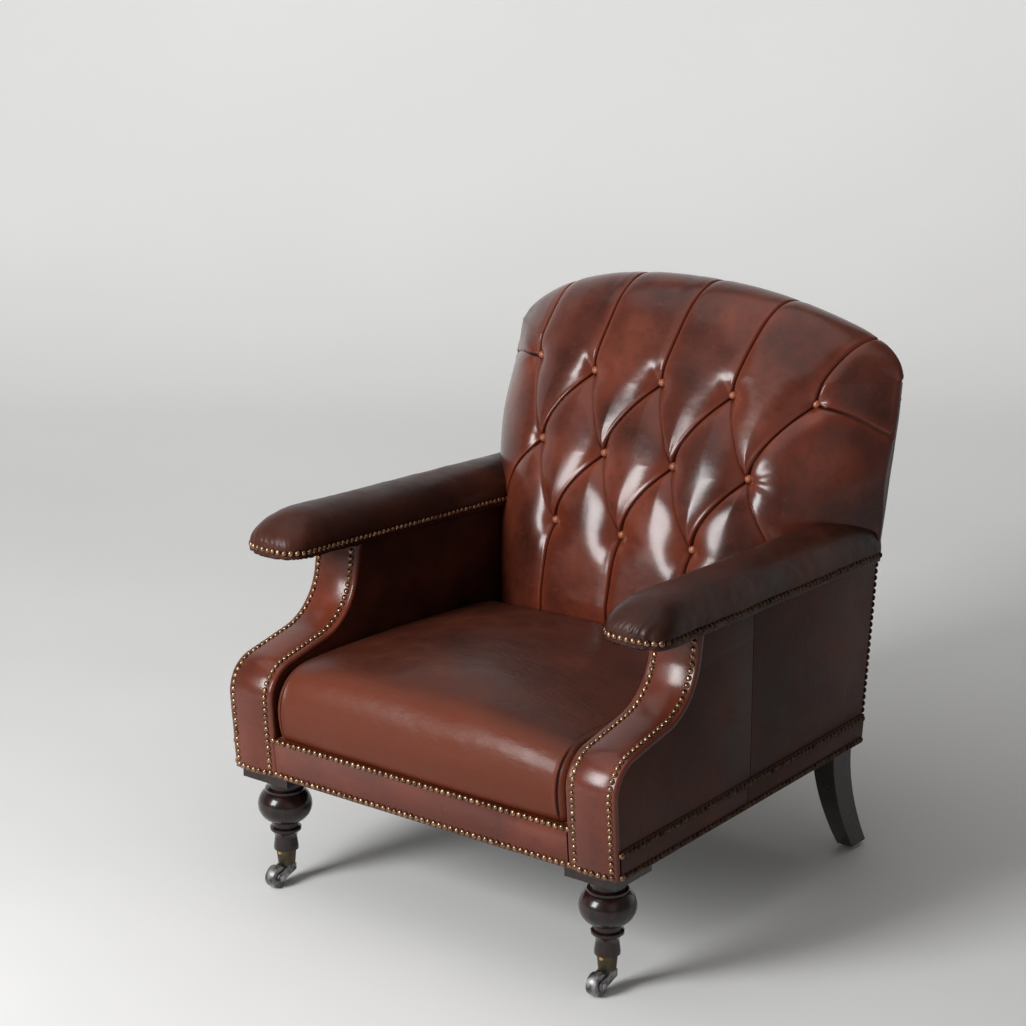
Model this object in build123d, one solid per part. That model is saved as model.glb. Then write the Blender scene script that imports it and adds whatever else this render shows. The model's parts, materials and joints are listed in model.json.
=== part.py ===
from build123d import *
import math
import os

# Button-backed leather club chair on turned front legs with cup casters.
# Millimetres, +Z up. The chair faces -Y, and the origin is on the floor under its middle.

# Overall sizes
BODY_WIDTH = 710.0          # over the outside arm panels
DEPTH = 774.0               # belly of the arm facings to the top of the outside back
BASE_Z = 196.0              # underside of the upholstered base
BACK_TOP_Z = 851.0          # top of the outside back
FRONT = -DEPTH / 2
REAR = DEPTH / 2

# Rear line of the chair: a lower and an upper rake that meet at a knee
KNEE_Z = 516.0
LOWER_RAKE = 6.3            # degrees from the vertical
UPPER_RAKE = 12.2

# S-shaped front line of the arms, as corners that are rounded off
FOOT_SETBACK = 11.0         # foot of the line behind the belly
BELLY_REACH = 2.5           # sharp belly corner ahead of the rounded belly
BELLY_Z = 363.6
BELLY_RADIUS = 54.0
WAIST_BACK = 189.0          # waist corner behind the belly
WAIST_Z = 401.4
WAIST_RADIUS = 91.0
HEAD_LEAN = 10.3            # degrees that the line leans back above the waist

# Arms, from outside to inside
OUTER_PANEL_T = 5.0         # leather on card
ARM_FRAME_T = 38.0          # posts and rails of the arm
INNER_PAD_T = 42.0          # padded inside arm
FACING_T = 8.0              # padded leather over the front of the arm
ARM_SLOPE = 3.2             # degrees, rising to the front
ARM_UNDER_Z = 487.0         # underside of the arm board at the rear line
ARM_RAIL_HEIGHT = 34.0
ARM_SPLAY = 1.9             # degrees that the arm pads turn outwards to the front
ARM_PAD_INSET = 37.0        # middle of the arm pad inside the outside of the body, at the middle of the chair
ARM_PAD_WIDTH = 108.0
ARM_PAD_FRONT = 64.0        # tip of the arm pad behind the belly
ARM_PAD_HEIGHT = 66.0
ARM_PAD_SIDE = 14.0         # upright edge of the pad, under its crown
ARM_PAD_LIP = 4.0           # leather that wraps the edge of the arm board
ARM_BOARD_T = 22.0
ARM_BOARD_TIP = 12.0        # tip of the arm board behind the tip of the pad
ARM_BOARD_CORNER = 40.0

# Blunt tip of the arm pads: shares of its length, of the width and of the crown
ARM_TIP_LENGTH = 90.0
ARM_TIP = ((0.0, 0.45, 0.14), (0.055, 0.72, 0.32), (0.155, 0.89, 0.52), (0.355, 0.98, 0.76), (0.62, 1.0, 0.92),
           (1.0, 1.0, 1.0))

# Wooden frame of the base
RAIL_TOP = 252.0
RAIL_T = 35.0
POST_DEPTH = 59.0           # foot of the arm post, front to back
POST_STEP_Z = 316.0         # where the rear of the arm post turns back
POST_HEAD_Z = 398.0
POST_HEAD_DEPTH = 72.0      # head of the arm post, front to back
BLOCK_LEG = 75.0            # corner blocks
BLOCK_INSET_Z = 5.0

# Frame and webbing of the back
BACK_POST_DEPTH = 32.0
OUTSIDE_BACK_T = 6.0
BACK_POST_W = 35.0
BACK_FRAME_INSET = 15.0     # back frame inside the outside of the body, above the arms
BACK_CHAMFER_W = 15.0       # bevel on the outer front edges of the back frame
BACK_CHAMFER_D = 20.0
TOP_RAIL_HEIGHT = 125.0     # top rail in the middle
TOP_RAIL_END_HEIGHT = 40.0  # and at its ends
TOP_RAIL_DROP = 5.0         # top rail below the top of the outside back
OUTSIDE_BACK_INSET = 2.0    # outside back panel inside the outside of the body
OUTSIDE_BACK_SIDE_DROP = 117.0      # top of its straight sides below the top
OUTSIDE_BACK_BEND_IN = 9.0          # middle of its round corners inside the sides
OUTSIDE_BACK_BEND_DROP = 82.0
OUTSIDE_BACK_CORNER_IN = 35.0       # upper end of its round corners inside the sides
OUTSIDE_BACK_CORNER_DROP = 62.0
LOWER_BACK_RAIL_Z = 296.0
LOWER_BACK_RAIL_H = 45.0
LOWER_BACK_RAIL_T = 28.0
WEB_T = 2.0
WEB_WIDTH = 50.0
BACK_WEB_COUNT = 5
BACK_WEB_FIRST_Z = 381.0
BACK_WEB_TOP_GAP = 36.0     # last strap below the top rail
SEAT_WEB_LONG = 5
SEAT_WEB_CROSS = 5
SEAT_WEB_LONG_PITCH = 105.0
SEAT_WEB_CROSS_PITCH = 110.0
DECK_T = 4.0
DUST_COVER_T = 1.2
DUST_COVER_INSET = 14.0

# Leather bands along the base
SIDE_BAND_T = 2.0
SIDE_BAND_HEIGHT = 46.0

# Seat
SEAT_GAP = 2.0              # to the inside arms and to the back
SEAT_FRONT_Z = 366.0        # top of the seat at its sides, front
SEAT_REAR_Z = 332.0         # and rear
SEAT_FRONT_CROWN = 30.0     # more than that in the middle
SEAT_REAR_CROWN = 48.0
SEAT_CROWN_POWER = 2.6
SEAT_ARCH = 8.0             # rise of the top between front and rear
SEAT_ROLL = 52.0            # rounded front edge
SEAT_BULGE = 7.0            # swell of the front face
SEAT_DRAW_IN = 7.0          # front pulled back at the sides
SEAT_REAR_ROUND = 10.0
SEAT_STEPS = (-1.0, -0.88, -0.6, 0.0, 0.6, 0.88, 1.0)   # outlines across the seat

# Tufted back
PAD_BOTTOM_Z = 266.0
PAD_SEAT_Z = 396.0          # the front is upright below this height
PAD_OVERHANG = 5.0          # sides of the pad past the outside of the body
PAD_PIVOT_DROP = 93.0       # the crest rolls over a line this far below the top of the outside back
PAD_CREST_HEIGHT = 108.0    # crest above that line, at the rear
CREST_DRAW_IN = 0.34        # how much the crest flattens at the rear, as a share of its height for each radian
PIVOT_RADIUS = 3.0
FIRST_ROW_DROP = 130.0      # top row of buttons below the top of the outside back
SECOND_ROW_DROP = 240.0
THIRD_ROW_DROP = 351.0
ROW_COUNT = (5, 4, 3)
ROW_DEPTH = (135.5, 173.7, 194.4)       # puffs in the middle of each row, ahead of the pad's rear
PAD_SEAT_DEPTH = 204.9                  # and at the seat
PAD_PIVOT_DEPTH = 121.5                 # and where the crest starts
ROW_FALL = (0.98, 0.89, 1.1)            # fall of the puffs to the sides of each row
PAD_SEAT_FALL = 1.35
PAD_PIVOT_FALL = 0.98
CREST_FALL = 0.70
FALL_POWER = 4.0            # the fall is steeper near the sides
CREST_POWER = 2.0
CORNER_POWER = 12.0         # rounding of the upper corners
PAD_EDGE = 8.0              # depth left at the sides
BUTTON_PITCH = 129.0
CREST_SPREAD = 1.1          # top pleats spread by this factor
TUFT_DEPTH = 30.0           # buttons below the puffs
PLEAT_DEPTH = 13.0          # pleats below the puffs
CREST_PLEAT_DEPTH = 8.0     # pleats between the first row and the crest
END_PLEAT_DEPTH = 4.0       # pleats at the end of the crest and at the seat
TUFT_HALF = 6.0             # half width of the flat at a button
TUFT_POWER = 1.5            # how fast a pleat gets shallow away from a button
PUFF_POWER = 0.8            # how full the puffs are
FLAT_PUFF = 0.05            # puffs lower than this share are flat
EDGE_FADE = 40.0            # the outermost pleats end this far below the top row
SEAT_FADE = 65.0            # the lowest pleats get shallow over this height
SIDE_WIDTH = 90.0           # plain sides
SIDE_BEND = 0.62            # their middle point is this share of the way to the edge
LEVEL_STEPS = (0.0, 0.25, 0.5, 0.75)
CREST_STEPS = (0.2, 0.4, 0.6, 0.8, 0.92, 1.0)
BUTTON_R = 6.5
BUTTON_T = 5.0
BUTTON_PLAY = 0.3
SOFT_GAP = 0.4              # between soft pieces that fit round each other

# Front legs
LEG_INSET = 53.0            # leg axis inside the outside of the body
LEG_Y = 63.0                # leg axis behind the belly
PLINTH = 88.0
PLINTH_T = 17.0
NECK_TOP_R = 32.0
NECK_R = 25.0
NECK_Z = 160.0
NECK_HOLLOW = 2.0           # hollow of the turned necks below a straight line
BALL_TOP_R = 30.0
BALL_TOP_Z = 154.0
BALL_R = 41.5
BALL_Z = 133.0
BALL_FOOT_R = 19.5
BALL_FOOT_Z = 103.0
COLLAR_R = 24.0
COLLAR_Z = 89.0
COLLAR_T = 4.0
STEM_R = 17.0
STEM_Z = 77.0
STEM_FOOT_R = 19.0
RING_Z = 62.0
RING_T = 5.0
LEG_BEVEL = 2.5             # bevels above and below the turned rings
BOLT_R = 4.0
BOLT_IN_LEG = 30.0
BOLT_IN_FRAME = 40.0
BOLT_PLAY = 0.1

# Rear legs
REAR_LEG_TOP_W = 38.0
REAR_LEG_TOP_D = 52.0
REAR_LEG_FOOT_W = 28.0
REAR_LEG_FOOT_D = 40.0
REAR_LEG_INSET = 20.0       # rear face of the leg ahead of the rear line, at the base
REAR_LEG_SWEEP = 86.0       # foot behind the top
REAR_LEG_CURVE = 1.6        # the sweep grows towards the foot
REAR_LEG_STEPS = (0.0, 0.25, 0.5, 0.75, 1.0)
REAR_LEG_TOE_IN = 14.0      # outer face of the foot inside that of the top
GLIDE_R = 14.0
GLIDE_T = 7.0

# Casters
CUP_TOP_R = 15.5
CUP_FOOT_R = 13.0
CUP_WALL = 2.5
CUP_FLOOR = 4.0
CUP_BOTTOM_Z = 32.0
CUP_ROOM = 5.0              # above the floor, for the riveted head of the pintle
CUP_PLAY = 0.1
CUP_SCREW_R = 2.0
CUP_SCREW_HEAD_R = 3.5
CUP_SCREW_HEAD_T = 1.6
CUP_SCREW_CROWN_R = 2.1     # flat on top of the head
CUP_SCREW_LENGTH = 9.0
CUP_SCREW_Z = 53.0
WHEEL_R = 17.5
WHEEL_W = 16.0
WHEEL_CROWN = 1.2           # tread radius lost at the edges of the wheel
WHEEL_TRAIL = 25.0          # axle ahead of the swivel axis
AXLE_R = 3.0
AXLE_HEAD_R = 4.5
AXLE_HEAD_T = 1.5
PINTLE_R = 4.5
PINTLE_HEAD_R = 7.0
PINTLE_HEAD_T = 2.0
RUNNING_FIT = 0.05          # radial play of the pintle and of the wheel on its axle
SWIVEL_GAP = 0.4
CHEEK_GAP = 0.7
CHEEK_T = 3.0
CHEEK_BOSS_R = 7.5
HORN_FLANGE_R = 10.0
HORN_FLANGE_T = 3.0
HORN_REACH = 9.0            # crown of the horn behind the swivel axis
HORN_CROWN_Z = 18.0         # underside of the crown
HORN_NECK = 1.0             # cheeks ahead of the swivel axis, at the top

# Values worked out from the sizes above
HALF_BODY = BODY_WIDTH / 2
FRAME_OUT = HALF_BODY - OUTER_PANEL_T
FRAME_IN = FRAME_OUT - ARM_FRAME_T
ARM_IN = FRAME_IN - INNER_PAD_T
ARM_PAD_X = HALF_BODY - ARM_PAD_INSET
LEG_X = HALF_BODY - LEG_INSET
RAIL_FRONT = FRONT + FOOT_SETBACK + FACING_T + SOFT_GAP
POST_REAR = RAIL_FRONT + POST_DEPTH
SEAT_BOTTOM = RAIL_TOP + 2 * WEB_T + DECK_T
FAR = 3 * DEPTH
PAD_REAR = OUTSIDE_BACK_T + SOFT_GAP
PAD_HALF_WIDTH = HALF_BODY + PAD_OVERHANG
PAD_PIVOT_Z = BACK_TOP_Z - PAD_PIVOT_DROP
ROW_Z = (BACK_TOP_Z - FIRST_ROW_DROP, BACK_TOP_Z - SECOND_ROW_DROP, BACK_TOP_Z - THIRD_ROW_DROP)
TOP_RAIL_CENTRE_Z = BACK_TOP_Z - TOP_RAIL_DROP
TOP_RAIL_Z = TOP_RAIL_CENTRE_Z - TOP_RAIL_HEIGHT
TOP_RAIL_END_Z = TOP_RAIL_Z + TOP_RAIL_END_HEIGHT
OUTSIDE_BACK_HALF = HALF_BODY - OUTSIDE_BACK_INSET
BACK_FRAME_HALF = HALF_BODY - BACK_FRAME_INSET
BACK_FRAME = OUTSIDE_BACK_T + BACK_POST_DEPTH + WEB_T
BACK_POST_IN = BACK_FRAME_HALF - BACK_POST_W
BACK_WEB_HALF = BACK_FRAME_HALF - BACK_CHAMFER_W - WEB_T


def tan(degrees):
    return math.tan(math.radians(degrees))


def rear_y(z, inset=0.0):
    """Rear line of the chair at height z, moved forward by inset."""
    knee = REAR - (BACK_TOP_Z - KNEE_Z) * tan(UPPER_RAKE)
    rake = UPPER_RAKE if z > KNEE_Z else LOWER_RAKE
    return knee + (z - KNEE_Z) * tan(rake) - inset


def arm_under_z(y):
    """Sloping underside of the arm boards."""
    return ARM_UNDER_Z + (rear_y(ARM_UNDER_Z) - y) * tan(ARM_SLOPE)


def polygon(points):
    return make_face(Polyline(*points, close=True))


def prism_x(face, x0, x1):
    """Face drawn in (y, z), extruded from x0 to x1."""
    return extrude(Plane.YZ.offset(x0) * face, x1 - x0)


def prism_z(face, z0, z1):
    return extrude(Plane.XY.offset(z0) * face, z1 - z0)


def cylinder_z(x, y, z0, z1, radius):
    return Pos(x, y, (z0 + z1) / 2) * Cylinder(radius, z1 - z0)


def turned(face, x, y):
    """Face drawn in (radius, z), revolved about the upright line at (x, y)."""
    return Pos(x, y, 0) * revolve(Plane.XZ * face, Axis.Z)


def other_side(part):
    return mirror(part, Plane.YZ)


def back_slab(near, far, z0, z1):
    """Slab along the rear line, between two insets from it, drawn in (y, z)."""
    points = [(rear_y(z0, near), z0)]
    if z0 < KNEE_Z < z1:
        points.append((rear_y(KNEE_Z, near), KNEE_Z))
    points.append((rear_y(z1, near), z1))
    points.append((rear_y(z1, far), z1))
    if z0 < KNEE_Z < z1:
        points.append((rear_y(KNEE_Z, far), KNEE_Z))
    points.append((rear_y(z0, far), z0))
    return polygon(points)


def behind_back(inset):
    """All the space behind the rear line, moved forward by inset."""
    return prism_x(back_slab(-FAR, inset, 0, 2 * BACK_TOP_Z), -FAR, FAR)


# Side outline of the arms

def corner_of(line_a, line_b):
    """Crossing of two lines, each given as a point and a direction."""
    (ay, az), (aw, ah) = line_a
    (by, bz), (bw, bh) = line_b
    share = ((by - ay) * bh - (bz - az) * bw) / (aw * bh - ah * bw)
    return ay + share * aw, az + share * ah


def moved_inside(start, end, inset):
    """Line from start to end, moved to its right by inset."""
    run, rise = end[0] - start[0], end[1] - start[1]
    length = math.hypot(run, rise)
    return (start[0] + inset * rise / length, start[1] - inset * run / length), (run, rise)


def front_line(inset):
    """S-shaped front line, moved inside the arm by inset."""
    head_z = 2 * ARM_UNDER_Z
    foot = (FRONT + FOOT_SETBACK, BASE_Z)
    belly = (FRONT - BELLY_REACH, BELLY_Z)
    waist = (FRONT + WAIST_BACK, WAIST_Z)
    head = (waist[0] + (head_z - WAIST_Z) * tan(HEAD_LEAN), head_z)
    lower = moved_inside(foot, belly, inset)
    middle = moved_inside(belly, waist, inset)
    upper = moved_inside(waist, head, inset)
    level = (1.0, 0.0)
    points = (
        corner_of(lower, ((0.0, BASE_Z), level)),
        corner_of(lower, middle),
        corner_of(middle, upper),
        corner_of(upper, ((0.0, head_z), level)),
    )
    return FilletPolyline(*points, radius=[BELLY_RADIUS - inset, WAIST_RADIUS + inset])


def behind_front_line(inset):
    line = front_line(inset)
    foot, head = line @ 0, line @ 1
    rest = Polyline(head, (FAR, head.Y), (FAR, foot.Y), foot)
    return make_face(line.edges() + rest.edges())


def arm_outline(inset, rear_inset, bottom):
    """Side outline of the arm under its board."""
    under = polygon([
        (-FAR, bottom),
        (rear_y(bottom, rear_inset), bottom),
        (rear_y(ARM_UNDER_Z, rear_inset), arm_under_z(rear_y(ARM_UNDER_Z, rear_inset))),
        (-FAR, arm_under_z(-FAR)),
    ])
    return behind_front_line(inset) & under


# Arm pads, drawn on the sloping underside of the arm

def on_arm(part):
    lean = Rot(-ARM_SLOPE, 0, 0) * (Rot(0, 0, ARM_SPLAY) * part)
    return Pos(ARM_PAD_X, 0, arm_under_z(0)) * lean


def arm_board_form():
    """Arm board with round front corners, before its rear end is cut."""
    half = ARM_PAD_WIDTH / 2 - ARM_PAD_LIP
    tip = FRONT + ARM_PAD_FRONT + ARM_BOARD_TIP
    line = FilletPolyline((half, DEPTH), (half, tip), (-half, tip), (-half, DEPTH), radius=ARM_BOARD_CORNER)
    rear = Line((-half, DEPTH), (half, DEPTH))
    return on_arm(extrude(make_face(line.edges() + rear.edges()), ARM_BOARD_T))


def arm_pad_section(y, width_share, crown_share, grow):
    """Outline of the arm pad across its length: flat below, upright edges and a round crown."""
    half = width_share * ARM_PAD_WIDTH / 2 + grow
    top = ARM_PAD_SIDE + crown_share * (ARM_PAD_HEIGHT - ARM_PAD_SIDE) + grow
    edges = [
        Line((-half, y, -grow), (half, y, -grow)),
        Line((half, y, -grow), (half, y, ARM_PAD_SIDE)),
        ThreePointArc((half, y, ARM_PAD_SIDE), (0, y, top), (-half, y, ARM_PAD_SIDE)),
        Line((-half, y, ARM_PAD_SIDE), (-half, y, -grow)),
    ]
    return Wire([edge.edge() for edge in edges])


def arm_pad_form(grow):
    tip = FRONT + ARM_PAD_FRONT - grow
    sections = [arm_pad_section(tip + back * ARM_TIP_LENGTH, wide, high, grow) for back, wide, high in ARM_TIP]
    sections.append(arm_pad_section(DEPTH, 1.0, 1.0, grow))
    form = Part(Solid.make_loft(sections, ruled=True).wrapped)
    return on_arm(form) - behind_back(OUTSIDE_BACK_T)


# Tufted back

def blend(z, heights, values):
    """Value at height z, between the given heights."""
    for (z0, z1), (v0, v1) in zip(zip(heights, heights[1:]), zip(values, values[1:])):
        if z <= z1:
            break
    share = min(1.0, max(0.0, (z - z0) / (z1 - z0)))
    return v0 + share * (v1 - v0)


PAD_LEVELS = (PAD_SEAT_Z,) + ROW_Z[::-1] + (PAD_PIVOT_Z,)
PAD_DEPTHS = (PAD_SEAT_DEPTH,) + ROW_DEPTH[::-1] + (PAD_PIVOT_DEPTH,)
PAD_FRONTS = tuple(rear_y(z, PAD_REAR + depth) for z, depth in zip(PAD_LEVELS, PAD_DEPTHS))
PAD_FALLS = (PAD_SEAT_FALL,) + ROW_FALL[::-1] + (PAD_PIVOT_FALL,)


def fallen(x, depth, fall, power):
    """Depth of the pad at x, when it is depth in the middle."""
    return max(PAD_EDGE, depth * (1 - fall * abs(x / PAD_HALF_WIDTH) ** power))


def pad_front_y(x, z):
    """Front of the puffs, with their fall to the sides."""
    rear = rear_y(max(z, PAD_SEAT_Z), PAD_REAR)
    depth = rear - blend(z, PAD_LEVELS, PAD_FRONTS)
    return rear - fallen(x, depth, blend(z, PAD_LEVELS, PAD_FALLS), FALL_POWER)


def row_phase(z):
    """Rows below the top row as a number: 0 at the top row, 1 at the next, and so on."""
    return blend(z, ROW_Z[::-1], (2.0, 1.0, 0.0))


def pleat_lines(z):
    """Places across the back where pleats cross height z, with the width of the flats."""
    phase = row_phase(z)
    to_odd = 1 - abs(1 - phase)
    lines = []
    for column in range(-5, 5):
        left, right = column * BUTTON_PITCH / 2, (column + 1) * BUTTON_PITCH / 2
        at_even = left + TUFT_HALF if column % 2 == 0 else right - TUFT_HALF
        at_odd = left + TUFT_HALF if column % 2 else right - TUFT_HALF
        lines.append(at_even + to_odd * (at_odd - at_even))
    return lines


def pleat_depth(z):
    """Depth of the pleats below the puffs: deepest at the button rows."""
    if z > ROW_Z[0]:
        away = (z - ROW_Z[0]) / (PAD_PIVOT_Z - ROW_Z[0])
        return TUFT_DEPTH + min(1.0, away) * (CREST_PLEAT_DEPTH - TUFT_DEPTH)
    if z < ROW_Z[-1]:
        away = min(1.0, (ROW_Z[-1] - z) / SEAT_FADE)
        return TUFT_DEPTH + away * (END_PLEAT_DEPTH - TUFT_DEPTH)
    phase = row_phase(z)
    away = 2 * abs(phase - round(phase))
    return PLEAT_DEPTH + (TUFT_DEPTH - PLEAT_DEPTH) * (1 - away) ** TUFT_POWER


def edge_pleat_depth(z):
    """Depth of the outermost pleats, which run from the ends of the top row to the crest."""
    away = max(0.0, ROW_Z[0] - z) / EDGE_FADE
    return pleat_depth(z) * max(0.0, 1 - away)


def puff_share(width):
    """How much of the puff stands up between two pleats: none at a flat, all of it at full width."""
    full = BUTTON_PITCH - 4 * TUFT_HALF
    share = min(1.0, max(0.0, (width - 2 * TUFT_HALF) / full))
    return math.sin(share * math.pi / 2) ** PUFF_POWER


def pad_section(lines, deep, edge_deep, surface, place, rear):
    """Closed outline of the back on one plane.

    lines are the pleats across the back, surface(x) the distance of the puffs from the rear line,
    deep and edge_deep the depths of the pleats, and place(x, distance) the point on the plane.
    """
    side = PAD_HALF_WIDTH
    edges = []
    depths = [edge_deep] + [deep] * (len(lines) - 2) + [edge_deep]
    marks = [(x, surface(x) - depth) for x, depth in zip(lines, depths)]
    outer = max(marks[-1][0], side - SIDE_WIDTH)
    corner = (side, surface(side))
    bend_x = outer + SIDE_BEND * (side - outer)
    bend = (bend_x, surface(bend_x))
    edges.append(ThreePointArc(place(-corner[0], corner[1]), place(-bend[0], bend[1]), place(*marks[0])))
    for (x0, d0), (x1, d1) in zip(marks, marks[1:]):
        middle = (x0 + x1) / 2
        lift = puff_share(x1 - x0)
        top = surface(middle) - deep * (1 - lift)
        if lift < FLAT_PUFF:
            edges.append(Line(place(x0, d0), place(x1, d1)))
        else:
            edges.append(ThreePointArc(place(x0, d0), place(middle, top), place(x1, d1)))
    edges.append(ThreePointArc(place(*marks[-1]), place(*bend), place(*corner)))
    edges.append(Line(place(*corner), place(side, rear)))
    edges.append(Line(place(side, rear), place(-side, rear)))
    edges.append(Line(place(-side, rear), place(-corner[0], corner[1])))
    return Wire([edge.edge() for edge in edges])


def level_section(z):
    rear_line = rear_y(z, PAD_REAR)

    def surface(x):
        return rear_line - pad_front_y(x, z)

    def place(x, distance):
        return x, rear_line - distance, z

    rear = PIVOT_RADIUS if z == PAD_PIVOT_Z else 0.0
    return pad_section(pleat_lines(z), pleat_depth(z), edge_pleat_depth(z), surface, place, rear)


def crest_radius(share):
    """Distance of the crest from its pivot line, which carries on the lean of the front without a kink."""
    turn = math.radians(90 + UPPER_RAKE)
    lean = (PAD_FRONTS[-1] - PAD_FRONTS[-2]) / (PAD_LEVELS[-1] - PAD_LEVELS[-2])
    start, end = PAD_PIVOT_DEPTH, PAD_CREST_HEIGHT
    leave, arrive = -lean * start * turn, -CREST_DRAW_IN * end * turn
    return (start * (1 - share) ** 2 * (1 + 2 * share) + leave * share * (1 - share) ** 2
            + end * share ** 2 * (3 - 2 * share) - arrive * share ** 2 * (1 - share))


def crest_section(degrees):
    """Outline on a plane that turns about the pivot line of the crest."""
    pivot_y = rear_y(PAD_PIVOT_Z, PAD_REAR)
    share = degrees / (90 + UPPER_RAKE)
    middle = crest_radius(share)
    fall = PAD_PIVOT_FALL + share * (CREST_FALL - PAD_PIVOT_FALL)
    power = FALL_POWER + share * (CREST_POWER - FALL_POWER)
    spread = 1 + share * (CREST_SPREAD - 1)
    deep = CREST_PLEAT_DEPTH + share * (END_PLEAT_DEPTH - CREST_PLEAT_DEPTH)
    angle = math.radians(degrees)

    def surface(x):
        rounding = math.sqrt(1 - min(1.0, abs(x / PAD_HALF_WIDTH)) ** CORNER_POWER)
        return max(PAD_EDGE, fallen(x, middle, fall, power) * (1 - share + share * rounding))

    def place(x, distance):
        return x, pivot_y - distance * math.cos(angle), PAD_PIVOT_Z + distance * math.sin(angle)

    lines = [x * spread for x in pleat_lines(PAD_PIVOT_Z)]
    return pad_section(lines, deep, deep, surface, place, PIVOT_RADIUS)


def arched(half, end_z, top_z):
    """Front outline with straight sides and an arched top, as a deep prism."""
    sides = Polyline((half, end_z), (half, 0), (-half, 0), (-half, end_z))
    arch = ThreePointArc((-half, end_z), (0, top_z), (half, end_z))
    return extrude(Plane.XZ * make_face(sides.edges() + arch.edges()), DEPTH, both=True)


def back_frame_limit(grow):
    """Space of the back frame: full width beside the arms, narrower and bevelled above them."""
    upper = arched(BACK_FRAME_HALF + grow, TOP_RAIL_END_Z + grow, TOP_RAIL_CENTRE_Z + grow)
    front = rear_y(KNEE_Z, BACK_FRAME + grow)
    start = BACK_FRAME_HALF - BACK_CHAMFER_W + grow
    outside = start + 2 * BACK_CHAMFER_W
    bevel = polygon([
        (start - BACK_CHAMFER_W, front - BACK_CHAMFER_D),
        (outside, front - BACK_CHAMFER_D),
        (outside, front + 2 * BACK_CHAMFER_D),
    ])
    bevel = extrude(Plane.XY.offset(KNEE_Z) * bevel, BACK_TOP_Z, dir=(0, tan(UPPER_RAKE), 1))
    upper -= [bevel, other_side(bevel)]
    lower = Pos(0, 0, KNEE_Z / 2) * Box(2 * (FRAME_OUT + grow), 2 * DEPTH, KNEE_Z)
    return upper + lower


def back_pocket(clear):
    """Space inside the back cover that the posts, rails and webbing fill."""
    slab = back_slab(-FAR, BACK_FRAME + clear, 0, 2 * BACK_TOP_Z)
    return prism_x(slab, -FAR, FAR) & back_frame_limit(clear)


def button_places():
    """Middle of each button's seat, with its outward direction."""
    places = []
    for row, (z, count) in enumerate(zip(ROW_Z, ROW_COUNT)):
        above, below = ROW_Z[max(0, row - 1)], ROW_Z[min(2, row + 1)]
        lean = (pad_front_y(0, above) - pad_front_y(0, below)) / (above - below)
        outward = Vector(0, -1, lean).normalized()
        for column in range(count):
            x = (column - (count - 1) / 2) * BUTTON_PITCH
            places.append((Vector(x, pad_front_y(x, z) + TUFT_DEPTH, z), outward))
    return places


def along(point, outward):
    return Plane(origin=point, x_dir=(1, 0, 0), z_dir=outward)


def back_pad():
    rows = [PAD_BOTTOM_Z, PAD_SEAT_Z, (PAD_SEAT_Z + ROW_Z[2]) / 2]
    for upper, lower in ((ROW_Z[1], ROW_Z[2]), (ROW_Z[0], ROW_Z[1])):
        rows += [lower + share * (upper - lower) for share in LEVEL_STEPS]
    rows += [ROW_Z[0], PAD_PIVOT_Z, KNEE_Z]
    sections = [level_section(z) for z in sorted(rows)]
    sections += [crest_section(share * (90 + UPPER_RAKE)) for share in CREST_STEPS]
    pad = Part(Solid.make_loft(sections, ruled=True).wrapped)
    under_arm = polygon([(-FAR, 0), (FAR, 0), (FAR, arm_under_z(FAR)), (-FAR, arm_under_z(-FAR))])
    arm_side = prism_x(under_arm, ARM_IN - SEAT_GAP, FAR)
    pad -= arm_side + other_side(arm_side)
    arm = arm_pad_form(SOFT_GAP)
    pad -= [arm, other_side(arm)]
    pad -= back_pocket(SOFT_GAP)
    wells = [along(point, out) * Cylinder(BUTTON_R + BUTTON_PLAY, 2 * TUFT_DEPTH,
             align=(Align.CENTER, Align.CENTER, Align.MIN)) for point, out in button_places()]
    return pad - wells


def back_buttons():
    rim = BUTTON_T / 2
    dome_r = (BUTTON_R ** 2 + rim ** 2) / (2 * rim)
    half_way = BUTTON_T - dome_r + math.sqrt(dome_r ** 2 - BUTTON_R ** 2 / 4)
    outline = Polyline((0, BUTTON_T), (0, 0), (BUTTON_R, 0), (BUTTON_R, rim))
    dome = ThreePointArc((BUTTON_R, rim), (BUTTON_R / 2, half_way), (0, BUTTON_T))
    button = revolve(Plane.XZ * make_face(outline.edges() + dome.edges()), Axis.Z)
    return [along(point, out) * button for point, out in button_places()]


# Seat

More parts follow.
